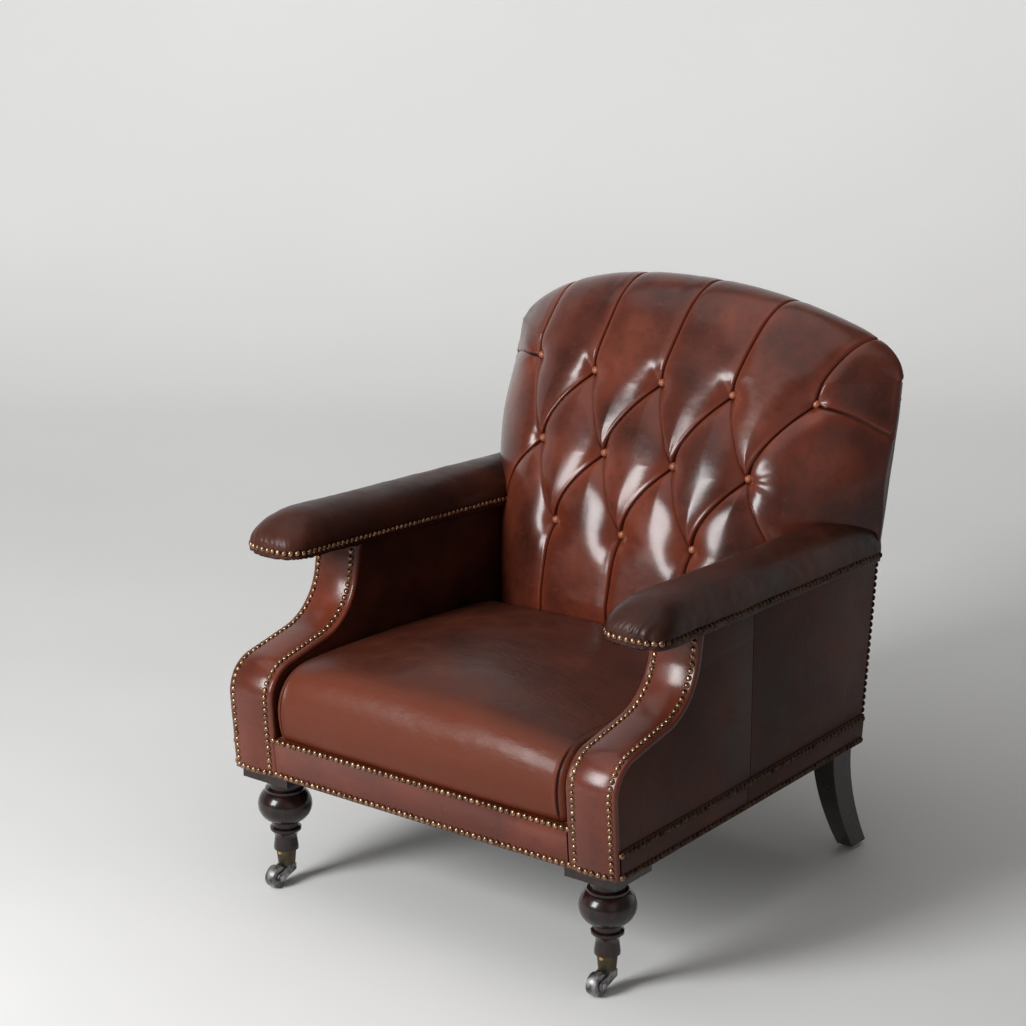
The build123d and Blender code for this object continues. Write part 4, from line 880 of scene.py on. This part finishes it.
def make_seat():
    even = np.linspace(-1, 1, SEAT_COLUMNS)
    near_fold = SEAT_HALF - SEAT_FOLD_IN + np.linspace(-0.004, 0.004, 11)
    crowded = np.sin(even * math.pi / 2) * 0.5 + even * 0.5
    places = np.unique(np.concatenate([crowded * SEAT_HALF, near_fold, -near_fold]))
    points, faces = loft([seat_loop(x) for x in places])
    seat = mesh_piece("seat", points, faces)
    rear = float(pad_front_y(0.0, PAD_LEVELS[0]))
    held = (points[:, 2] < SEAT_BOTTOM + SEAT_HELD) | (np.abs(points[:, 0]) > SEAT_HALF - SEAT_HELD)
    filled_out(seat, held | (points[:, 1] > rear - SEAT_REAR_ROUND), SEAT_SWELL)
    points = points_of(seat.data)
    hollow = uneven(points, SEAT_HOLLOWS, 3) + uneven(points, SEAT_UNEVEN, 4)
    move_points(seat, points + normals_of(seat.data) * hollow[:, None])
    points = points_of(seat.data)
    facing = -normals_of(seat.data)[:, 1]
    from_fold = np.abs(points[:, 0]) - SEAT_HALF + SEAT_FOLD_IN
    above = smooth_step((points[:, 2] - SEAT_BOTTOM - SEAT_FLAT) / 0.010)
    fold_and_shade = smooth_step((facing - 0.2) / 0.4) * above
    lip = SEAT_LIP_RISE * fold_and_shade * bell(from_fold + SEAT_LIP_BESIDE, SEAT_LIP_WIDTH)
    fold_and_shade = fold_and_shade * bell(from_fold, SEAT_FOLD_HALF)
    move_points(seat, points + np.outer(SEAT_FOLD_DEEP * fold_and_shade - lip, (0, 1, 0)))
    # painted light: faces turned to the front are lighter and redder, as rubbed leather and as lit by the
    # window ahead
    point_values(seat, "wear_and_light", 1.25 * smooth_step(facing / 0.8) + 0.15)
    # painted shade in the creases down the front, from the same mask that sinks them
    point_values(seat, "fold_and_shade", fold_and_shade)
    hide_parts("seat_cushion")
    return seat


# Arms

def on_arm(points, sign):
    """Points drawn on the underside of an arm, laid on the chair."""
    place = Matrix.Translation((ARM_PAD_X, 0, arm_under_z(0)))
    lay = place @ Matrix.Rotation(-ARM_SLOPE, 4, "X") @ Matrix.Rotation(ARM_SPLAY, 4, "Z")
    laid = np.asarray(points) @ np.array(lay.to_3x3()).T + np.array(lay.translation)
    return laid * (sign, 1, 1)


def arm_loop(y, wide, crown):
    """Outline across an arm pad: flat below, upright edges and a round crown."""
    half = ARM_PAD_HALF * wide
    angles = np.linspace(0, math.pi, ARM_CROWN_POINTS)
    over_x = half * np.sign(np.cos(angles)) * np.abs(np.cos(angles)) ** ARM_CROWN_POWER
    rise = crown * (ARM_PAD_HEIGHT - ARM_PAD_SLACK - ARM_PAD_SIDE)
    over_z = ARM_PAD_SIDE + rise * np.sin(angles) ** ARM_CROWN_POWER
    hem_in, hem_z = np.array(ARM_HEM).T
    edge_z = np.array(ARM_EDGE_Z)
    edge_x = np.concatenate([half - hem_in, half - ARM_NAIL_DIP * bell(edge_z - ARM_NAIL_Z, 0.004)])
    edge_z = np.concatenate([hem_z, edge_z])
    x = np.concatenate([edge_x, over_x, -edge_x[::-1]])
    z = np.concatenate([edge_z, over_z, edge_z[::-1]])
    return np.column_stack([x, np.full(len(x), y), z])


def tip_width(share):
    """Width of an arm pad along its tip, as a share of the full width."""
    return np.maximum((1 - (1 - np.minimum(1, share / ARM_TIP_ROUND)) ** 3) ** (1 / 3.2), 0.05)


def tip_crown(share):
    """Crown of an arm pad along its tip, as a share of the full crown."""
    return ARM_TIP_CROWN + (1 - ARM_TIP_CROWN) * (1 - (1 - share) ** 2.2) ** 0.62


def make_arm_pad(side, sign):
    tip = np.linspace(0, 1, ARM_TIP_STATIONS) ** 2
    stations = list(zip(ARM_PAD_TIP + tip * ARM_TIP_LENGTH, tip_width(tip), tip_crown(tip)))
    first, last = ARM_PAD_TIP + ARM_TIP_LENGTH + ARM_STEP, rear_y(ARM_UNDER_Z) + ARM_PAST_REAR
    straight = np.arange(first, last, ARM_STEP)
    stations += [(y, 1.0, 1.0) for y in straight]
    local, faces = loft([arm_loop(*station) for station in stations])
    pad = mesh_piece(side + "_arm_cover", on_arm(local, sign), faces)
    x, y, z = local.T
    ends = (y < ARM_PAD_TIP + 0.002) | (y > straight[-1] - 0.02)
    filled_out(pad, ends | (z < ARM_PAD_SIDE + 0.001), ARM_PAD_SLACK)
    points = points_of(pad.data)
    around = np.arctan2(x, y - ARM_PAD_TIP - ARM_TURN_AT) * ARM_TURN_RADIUS + y
    height = np.exp(-np.clip(z - ARM_NAIL_Z, 0, None) / ARM_GATHER_HEIGHT)
    gather = 1 + ARM_GATHER * bell(y - ARM_PAD_TIP, ARM_GATHER_REACH)
    pucker = ARM_PUCKER * gather * height * np.sin(around * 2 * math.pi / NAIL_PITCH)
    swell = uneven(points, ARM_SWELLS, 5 + sign) + uneven(points, ARM_UNEVEN, 7)
    points = points + normals_of(pad.data) * (swell + pucker)[:, None]
    rear = np.array([rear_y(z) - PANEL_REAR for z in points[:, 2]])
    points[:, 1] = np.minimum(points[:, 1], rear)
    move_points(pad, points)
    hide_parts(side + "_arm_pad")
    return pad


def facing_rise(x):
    """How far the leather of an arm front stands out at x: rounded edges and a swell between the nails."""
    from_edge = np.minimum(x - ARM_IN, HALF_BODY - x)
    edge = np.clip(1 - from_edge / FACING_EDGE, 0, 1)
    fall = -FACING_EDGE * (1 - np.sqrt(1 - edge ** 2))
    inside = np.clip((x - ARM_IN - NAIL_IN) / (HALF_BODY - NAIL_OUT - ARM_IN - NAIL_IN), 0, 1)
    return fall + FACING_CROWN * np.sin(inside * math.pi) ** 0.7


def make_facing(side, sign):
    edge = FACING_EDGE * (1 - np.cos(np.linspace(0, math.pi / 2, 6)))[:-1]
    flat = np.linspace(ARM_IN + FACING_EDGE, HALF_BODY - FACING_EDGE, 25)
    across = np.concatenate([ARM_IN + edge, flat, HALF_BODY - edge[::-1]])
    rise = facing_rise(across)
    loops = []
    for length in np.linspace(0.0, FRONT_LENGTH, int(FRONT_LENGTH / FACING_STEP) + 1):
        point, out = front_point(length)
        front = np.column_stack([across, point.x + out.x * rise, point.y + out.y * rise])
        inner = [[x, *(point - out * FACING_T)] for x in (HALF_BODY, ARM_IN)]
        loops.append(np.concatenate([front, inner]))
    points, faces = loft(loops)
    points = points + np.outer(uneven(points, FACING_UNEVEN, 11 + sign), (0, -1, 0))
    facing = mesh_piece(side + "_arm_front", points * (sign, 1, 1), faces)
    # rubbed red, and painted lighter as a face lit from the front
    point_values(facing, "wear_and_light", np.full(len(points), ARM_FRONT_RUBBED_AND_LIT))
    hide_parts(side + "_arm_facing")
    return facing


def panel_part(node, seam, side):
    """Form of a panel, or of its part on one side of an upright seam."""
    part = bmesh.new()
    part.from_mesh(NODES[node].data)
    bmesh.ops.remove_doubles(part, verts=part.verts, dist=0.00005)
    if side:
        every = part.verts[:] + part.edges[:] + part.faces[:]
        cut = bmesh.ops.bisect_plane(part, geom=every, plane_co=(0, seam + side * SEAM_GAP, 0),
                                     plane_no=(0, side, 0), clear_inner=True)
        rim = [edge for edge in cut["geom_cut"] if isinstance(edge, bmesh.types.BMEdge)]
        bmesh.ops.contextual_create(part, geom=rim)
    return part


def bevelled_copy(node, name, width, seam=None):
    """Stiff leather panel with its edges rounded over, in place of a node."""
    mesh = bpy.data.meshes.new(name)
    whole = bmesh.new()
    for side in (0,) if seam is None else (-1, 1):
        part = panel_part(node, seam, side)
        part.to_mesh(mesh)
        part.free()
        whole.from_mesh(mesh)
    whole.to_mesh(mesh)
    whole.free()
    cover = placed(name, smoothed(mesh))
    bevel = cover.modifiers.new("round", "BEVEL")
    bevel.width = width
    bevel.segments = 3
    bevel.limit_method = "ANGLE"
    bevel.angle_limit = math.radians(40)
    bevel.harden_normals = True
    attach(cover, "chair")
    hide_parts(node)
    return cover


# Nails

def both_sides(place, outward):
    """A place on the right of the chair and its outward direction, on the left and the right."""
    return [tuple((sign * x, y, z) for x, y, z in (place, outward)) for _, sign in SIDES]


def front_nails():
    """Nail lines on both arm fronts and along the front band, with the first nails of the side bands."""
    places = []
    inner, outer = ARM_IN + NAIL_IN, HALF_BODY - NAIL_OUT
    for x in (inner, outer):
        for number in range(int((FRONT_LENGTH - NAIL_STOP) / NAIL_PITCH) + 1):
            point, out = front_point(BAND_LOW - BASE_Z + number * NAIL_PITCH)
            places += both_sides((x, *point), (0, *out))
    for height, reach in ((BAND_LOW, outer), (FRONT_BAND_HIGH, inner)):
        point, out = front_point(height - BASE_Z)
        for x in np.linspace(-reach, reach, round(2 * reach / NAIL_PITCH) + 1)[1:-1]:
            if min(abs(abs(x) - inner), abs(abs(x) - outer)) > NAIL_PITCH / 2:
                rise = float(facing_rise(abs(x))) if abs(x) > ARM_IN else 0.0
                places.append(((x, *(point + out * rise)), (0, *out)))
    for height in (BAND_LOW, SIDE_BAND_HIGH):
        corner = front_point(height - BASE_Z)[0].x + NAIL_CORNER
        places += both_sides((BAND_X, corner, height), (1, -0.4, 0))
    return places


def side_nails():
    places = []
    for height in (BAND_LOW, SIDE_BAND_HIGH):
        start = front_point(height - BASE_Z)[0].x + NAIL_CORNER + NAIL_PITCH
        end = rear_y(height) - NAIL_R
        for y in np.linspace(start, end, round((end - start) / NAIL_PITCH) + 1):
            places += both_sides((BAND_X, y, height), (1, 0, 0))
    return places


def arm_nails():
    """Nails round the lower edge of both arm pads."""
    tip = np.linspace(0.0, 1.0, 80) ** 2
    edge = np.column_stack([ARM_PAD_HALF * tip_width(tip), ARM_PAD_TIP + tip * ARM_TIP_LENGTH])
    rear = rear_y(ARM_NAIL_REAR_Z) - ARM_NAIL_REAR
    path = Path(np.concatenate([[(-ARM_PAD_HALF, rear - ARM_NAIL_INNER)], edge[::-1] * (-1, 1), edge,
                                [(ARM_PAD_HALF, rear)]]))
    places = []
    for length in path.nail_lengths():
        x, y = path.at(length)
        way = path.at(length + 0.002) - path.at(length - 0.002)
        out = Vector((way[1], -way[0], 0)).normalized()
        z = ARM_NAIL_Z - ARM_NAIL_DROP
        here, there = on_arm([(x, y, z), (x + out.x, y + out.y, z)], 1)
        places += both_sides(here, there - here)
    return places


def back_nails():
    """Nails round the edge of the outside back."""
    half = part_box("outside_back_panel")[1].x - BACK_NAIL_IN
    outline = [(half, BASE_Z + BACK_NAIL_LOW), (half, BACK_NAIL_SIDE_Z), *BACK_NAIL_SHOULDER]
    for x in np.linspace(0.30, 0.0, 12):
        outline.append((x, BACK_TOP_Z - BACK_NAIL_DROP - BACK_NAIL_FALL * (x / BACK_NAIL_REACH) ** 2))
    path = Path(outline)
    places = []
    for length in path.nail_lengths():
        x, z = path.at(length)
        rake = UPPER_RAKE if z > KNEE_Z else LOWER_RAKE
        beside = 1.0 if x > half - 0.02 else 0.0
        places += both_sides((x, rear_y(z), z), (beside, math.cos(rake), -math.sin(rake)))
    return places


def make_nails():
    """Pieces of nails, each with its look: bright in front, and a darker brass of painted shade along the sides
    and the rear.
    """
    form = dome(NAIL_RISE, NAIL_R, 4, 14)
    arms = arm_nails()
    sides = [place for place in arms if place[0][0] * place[1][0] > 0 and abs(place[1][0]) > 0.9]
    fronts = [place for place in arms if place not in sides]
    lines = (("front_nails", front_nails(), "brass"), ("arm_nails", fronts, "brass"),
             ("side_nails", side_nails(), "dull_brass"), ("arm_side_nails", sides, "dull_brass"),
             ("back_nails", back_nails(), "dull_brass"))
    return [(scattered(name, form, places), look) for name, places, look in lines]


# Materials

class Shader:
    """A Principled material that is built up from procedural patterns."""

    def __init__(self, name, **inputs):
        self.material = bpy.data.materials.new(name)
        self.material.use_nodes = True
        self.tree = self.material.node_tree
        self.surface = self.tree.nodes["Principled BSDF"]
        self.place = self.add("ShaderNodeTexCoord").outputs["Object"]
        self.feed(self.surface, inputs)

    def feed(self, node, inputs):
        """Sets or links the inputs of a node, by their number or by their name with _ for each space."""
        for key, value in inputs.items():
            socket = node.inputs[key.replace("_", " ") if isinstance(key, str) else key]
            if isinstance(value, bpy.types.NodeSocket):
                self.tree.links.new(value, socket)
            else:
                socket.default_value = value

    def add(self, kind, **inputs):
        node = self.tree.nodes.new(kind)
        self.feed(node, inputs)
        return node

    def moved(self, **how):
        return self.add("ShaderNodeMapping", Vector=self.place, **how).outputs["Vector"]

    def point_value(self, name):
        node = self.add("ShaderNodeAttribute")
        node.attribute_name = name
        return node.outputs["Fac"]

    def noise(self, scale, detail=4.0, place=None):
        node = self.add("ShaderNodeTexNoise", Vector=place or self.place, Scale=scale, Detail=detail)
        return node.outputs["Fac"]

    def span(self, value, low, high, start=0.3, end=0.7):
        """Spreads a value between start and end from low to high."""
        ends = {"From_Min": start, "From_Max": end, "To_Min": low, "To_Max": high}
        return self.add("ShaderNodeMapRange", Value=value, **ends).outputs["Result"]

    def math(self, kind, a, b):
        node = self.add("ShaderNodeMath")
        node.operation = kind
        self.feed(node, {0: a, 1: b})
        return node.outputs[0]

    def ramp(self, value, *stops):
        node = self.add("ShaderNodeValToRGB", Fac=value)
        marks = node.color_ramp.elements
        while len(marks) < len(stops):
            marks.new(0.5)
        for mark, (place, colour) in zip(marks, stops):
            mark.position = place
            mark.color = (*colour, 1.0)
        return node.outputs["Color"]

    def mix(self, share, *colours):
        node = self.add("ShaderNodeMix")
        node.data_type = "RGBA"
        a, b = ((*colour, 1.0) if isinstance(colour, tuple) else colour for colour in colours)
        self.feed(node, {0: share, 6: a, 7: b})
        return node.outputs[2]

    def bump(self, height, strength, distance, **under):
        node = self.add("ShaderNodeBump", Height=height, Strength=strength, Distance=distance, **under)
        return node.outputs["Normal"]

    def done(self, **inputs):
        self.feed(self.surface, inputs)
        return self.material


def leather(name, dark, middle, light, gloss, smoke, shine, wrinkles=0.10):
    """Waxed leather: cloudy patina, pores and soft creases, very dark with painted shade in the creases, redder
    beside them where it is rubbed, and lighter where painted light is asked for.
    """
    shader = Shader(name, Coat_Weight=shine, Coat_Roughness=0.20, Specular_IOR_Level=0.20)
    colour = shader.ramp(shader.noise(9.0, 6.0), (0.30, dark), (0.50, middle), (0.72, light))
    smoky = shader.noise(6.0, 5.0, shader.moved(Location=(0.7, 2.9, 5.1)))
    soot = tuple(0.45 * part for part in dark)
    colour = shader.mix(shader.span(smoky, 0.0, smoke, 0.40, 0.72), colour, soot)
    speck = shader.noise(70.0, 5.0)
    colour = shader.mix(shader.span(speck, 0.0, 0.40, 0.48, 0.75), colour, dark)
    scratch = shader.noise(60.0, 6.0, shader.moved(Scale=(1.0, 6.0, 2.0)))
    colour = shader.mix(shader.span(scratch, 0.0, 0.30, 0.58, 0.72), colour, light)
    # lighter, redder colour where the leather is rubbed, which on the seat front, arm fronts and front band is
    # also painted light
    rubbed = tuple(min(1.0, factor * part) for factor, part in zip((1.35, 1.15, 1.0), light))
    colour = shader.mix(shader.math("MULTIPLY", shader.point_value("wear_and_light"), 0.60), colour, rubbed)
    # painted shade: nearly black in the creases
    fold_shade_colour = tuple(0.16 * part for part in dark)
    colour = shader.mix(shader.math("MULTIPLY", shader.point_value("fold_and_shade"), 0.92), colour, fold_shade_colour)
    rough = shader.span(shader.noise(18.0, 6.0), gloss, gloss + 0.14)
    cells = shader.add("ShaderNodeTexVoronoi", Vector=shader.place, Scale=750.0).outputs["Distance"]
    pores = shader.bump(cells, 0.08, 0.0005)
    crease = shader.bump(shader.noise(85.0, 6.0), 0.12, 0.0014, Normal=pores)
    streaks = shader.noise(55.0, 8.0, shader.moved(Scale=(1.0, 2.6, 1.6)))
    wrinkled = shader.bump(streaks, wrinkles, 0.003, Normal=crease)
    return shader.done(Base_Color=colour, Roughness=rough, Normal=wrinkled)


def polished_wood(name, dark, light):
    shader = Shader(name, Coat_Weight=0.5, Coat_Roughness=0.13, Specular_IOR_Level=0.25)
    grain = shader.noise(9.0, 6.0, shader.moved(Scale=(9.0, 9.0, 1.0)))
    return shader.done(Base_Color=shader.ramp(grain, (0.35, dark), (0.75, light)),
                       Roughness=shader.span(shader.noise(30.0), 0.22, 0.34),
                       Normal=shader.bump(grain, 0.05, 0.001))


def plain_wood(name, dark, light):
    shader = Shader(name)
    grain = shader.noise(14.0, 6.0, shader.moved(Scale=(1.0, 8.0, 8.0)))
    return shader.done(Base_Color=shader.ramp(grain, (0.3, dark), (0.7, light)),
                       Roughness=shader.span(shader.noise(40.0), 0.55, 0.75),
                       Normal=shader.bump(grain, 0.15, 0.001))


def metal(name, dark, light, gloss, wear=45.0):
    shader = Shader(name, Metallic=1.0)
    return shader.done(Base_Color=shader.ramp(shader.noise(wear, 6.0), (0.36, dark), (0.66, light)),
                       Roughness=shader.span(shader.noise(wear * 2), gloss, gloss + 0.2),
                       Normal=shader.bump(shader.noise(wear * 6), 0.06, 0.0005))


def woven(name, dark, light, pitch):
    shader = Shader(name, Roughness=0.9)
    threads = []
    for direction in ("X", "Y"):
        wave = shader.add("ShaderNodeTexWave", Vector=shader.place, Scale=pitch, Distortion=0.6)
        wave.bands_direction = direction
        threads.append(wave.outputs["Fac"])
    weave = shader.math("MULTIPLY", *threads)
    return shader.done(Base_Color=shader.ramp(weave, (0.1, dark), (0.8, light)),
                       Normal=shader.bump(weave, 0.4, 0.001))


# Each look's maker, colours from dark to light and other values
LOOKS = {
    "oxblood_leather": (leather, (0.044, 0.012, 0.008), (0.112, 0.024, 0.013), (0.185, 0.040, 0.019),
                        0.22, 0.62, 0.46),
    # darker copy of the leather: painted shade on the seat top, which faces away from the low window light; its
    # front is painted lighter through its own points
    "seat_leather": (leather, (0.040, 0.012, 0.008), (0.068, 0.018, 0.010), (0.110, 0.028, 0.014),
                     0.34, 0.60, 0.07, 0.26),
    # lighter copy of the leather that covers them: painted highlight on the buttons
    "button_leather": (leather, (0.24, 0.075, 0.038), (0.34, 0.112, 0.056), (0.46, 0.175, 0.095),
                       0.18, 0.1, 0.5),
    # darker copy of the leather: painted shade on the arm panels, side bands and outside back, which turn away
    # from the window light
    "side_leather": (leather, (0.028, 0.008, 0.005), (0.060, 0.014, 0.007), (0.095, 0.022, 0.010),
                     0.36, 0.75, 0.02),
    "arm_leather": (leather, (0.029, 0.010, 0.007), (0.062, 0.016, 0.009), (0.100, 0.027, 0.014),
                    0.33, 0.75, 0.04),
    "frame_wood": (plain_wood, (0.34, 0.22, 0.12), (0.52, 0.37, 0.22)),
    "dark_mahogany": (polished_wood, (0.004, 0.003, 0.0028), (0.030, 0.008, 0.006)),
    "jute_webbing": (woven, (0.25, 0.18, 0.10), (0.48, 0.37, 0.22), 160.0),
    "hessian": (woven, (0.22, 0.16, 0.09), (0.45, 0.34, 0.20), 260.0),
    "black_cloth": (woven, (0.008, 0.008, 0.008), (0.03, 0.03, 0.03), 320.0),
    "bronze": (metal, (0.040, 0.034, 0.024), (0.13, 0.105, 0.070), 0.34),
    "brass": (metal, (0.10, 0.053, 0.031), (0.41, 0.255, 0.155), 0.20, 160.0),
    # lighter brass: painted glint on the cup screws, which are in shade
    "bright_brass": (metal, (0.55, 0.30, 0.10), (0.85, 0.52, 0.20), 0.30, 160.0),
    # darker brass: painted shade on the nails of the sides and the rear
    "dull_brass": (metal, (0.022, 0.013, 0.009), (0.105, 0.062, 0.038), 0.38, 160.0),
    "steel": (metal, (0.28, 0.28, 0.29), (0.50, 0.50, 0.51), 0.32),
    "caster_steel": (metal, (0.09, 0.085, 0.088), (0.38, 0.37, 0.375), 0.40, 90.0),
}


# Stage

def pale_floor():
    """Matt floor and backdrop, paler to the eye and in reflections than in the light that they throw back."""
    shader = Shader("pale_floor", Roughness=0.9, Specular_IOR_Level=0.1, Emission_Color=(1.0, 1.0, 1.0, 1.0))
    rays = shader.add("ShaderNodeLightPath").outputs
    mirrored = shader.math("MAXIMUM", rays["Is Glossy Ray"], rays["Is Transmission Ray"])
    seen = shader.math("MAXIMUM", rays["Is Camera Ray"], mirrored)
    tone = shader.ramp(shader.noise(1.2), (0.3, (0.78, 0.78, 0.775)), (0.7, (0.83, 0.83, 0.825)))
    turned = shader.moved(Rotation=(0.0, 0.0, -CAMERA_TURN))
    behind = shader.add("ShaderNodeSeparateXYZ", Vector=turned).outputs["Y"]
    away = shader.add("ShaderNodeVectorMath", Vector=shader.place)
    away.operation = "LENGTH"
    far = shader.math("MAXIMUM", shader.span(behind, 0.0, 0.40, 0.0, 4.0),
                      shader.span(away.outputs["Value"], 0.0, 0.40, 3.0, 7.0))
    return shader.done(Base_Color=shader.mix(seen, (0.36, 0.36, 0.35), tone),
                       Emission_Strength=shader.math("MULTIPLY", seen, far))


def make_stage():
    """Pale floor that curves up into a backdrop behind the chair, as seen from the camera."""
    profile = [(-STAGE_HALF, 0.0), (BACKDROP_AT, 0.0)]
    for step in range(1, BACKDROP_STEPS + 1):
        angle = step / BACKDROP_STEPS * math.pi / 2
        rise = BACKDROP_RADIUS * (1 - math.cos(angle))
        profile.append((BACKDROP_AT + BACKDROP_RADIUS * math.sin(angle), rise))
    profile.append((BACKDROP_AT + BACKDROP_RADIUS, BACKDROP_TOP))
    spin = Matrix.Rotation(CAMERA_TURN, 3, "Z")
    points = [spin @ Vector((side, reach, z)) for reach, z in profile for side in (-STAGE_HALF, STAGE_HALF)]
    mesh = bpy.data.meshes.new("floor")
    mesh.from_pydata(points, [], [(2 * i, 2 * i + 1, 2 * i + 3, 2 * i + 2) for i in range(len(profile) - 1)])
    mesh.materials.append(pale_floor())
    floor = placed("floor", smoothed(mesh))


def area_light(name, place, aim, size, power):
    light = bpy.data.lights.new(name, "AREA")
    light.shape = "RECTANGLE"
    light.size, light.size_y = size
    light.energy = power
    lamp = placed(name, light)
    lamp.location = place
    lamp.rotation_euler = (Vector(aim) - Vector(place)).to_track_quat("-Z", "Y").to_euler()


def make_lights():
    """Light of a tall soft window from the front left, with weak light from above and from the right."""
    area_light("window", (-0.95, -2.95, 1.75), (0.0, 0.0, 0.5), (1.1, 1.5), 105)
    area_light("side", (2.6, -2.0, 1.6), (0.0, 0.0, 0.4), (2.0, 2.0), 3)
    area_light("top", (-0.4, -0.4, 3.4), (0.0, 0.0, 0.5), (3.4, 3.4), 30)
    world = bpy.data.worlds.new("studio")
    world.use_nodes = True
    world.node_tree.nodes["Background"].inputs["Color"].default_value = (1.0, 0.98, 0.95, 1.0)
    world.node_tree.nodes["Background"].inputs["Strength"].default_value = 0.18
    bpy.context.scene.world = world


def make_camera():
    data = bpy.data.cameras.new("camera")
    data.lens = CAMERA_LENS
    data.sensor_width = 36.0
    camera = placed("camera", data)
    camera.location = CAMERA_AT
    camera.rotation_euler = (math.radians(90) - CAMERA_DOWN, 0, CAMERA_TURN)
    bpy.context.scene.camera = camera


# Chair

def finish_with(piece, materials, slot, look=None):
    """Gives a piece the material of its slot, or a look of its own within that slot."""
    piece.data.materials.clear()
    piece.data.materials.append(materials[look or slot])


def main():
    bpy.context.scene.view_settings.view_transform = "Standard"
    materials = {name: make(name, *values) for name, (make, *values) in LOOKS.items()}
    for entry in frame["record"]["subparts"]:
        node = NODES[entry["node"]]
        node.data.materials.clear()
        node.data.materials.append(materials[NODE_LOOKS.get(entry["node"], entry["material_slot"])])
    finish_with(make_back(), materials, "oxblood_leather")
    finish_with(make_buttons(), materials, "oxblood_leather", "button_leather")
    finish_with(make_seat(), materials, "oxblood_leather", "seat_leather")
    for side, sign in SIDES:
        finish_with(make_arm_pad(side, sign), materials, "arm_leather")
        finish_with(make_facing(side, sign), materials, "oxblood_leather")
        for panel, width, seam in SIDE_PANELS:
            cover = bevelled_copy(f"{side}_{panel}", f"{side}_{panel}_cover", width, seam)
            # side panels in the darker leather of painted shade
            finish_with(cover, materials, "side_leather")
    band = bevelled_copy("front_band", "front_band_cover", 0.001)
    # rubbed red, and painted lighter as a face lit from the front
    point_values(band, "wear_and_light", np.full(len(band.data.vertices), ARM_FRONT_RUBBED_AND_LIT))
    finish_with(band, materials, "oxblood_leather")
    finish_with(bevelled_copy("outside_back_panel", "outside_back_cover", 0.002), materials, "side_leather")
    for nails, look in make_nails():
        finish_with(nails, materials, "brass", look)
    make_stage()
    make_lights()
    make_camera()


main()
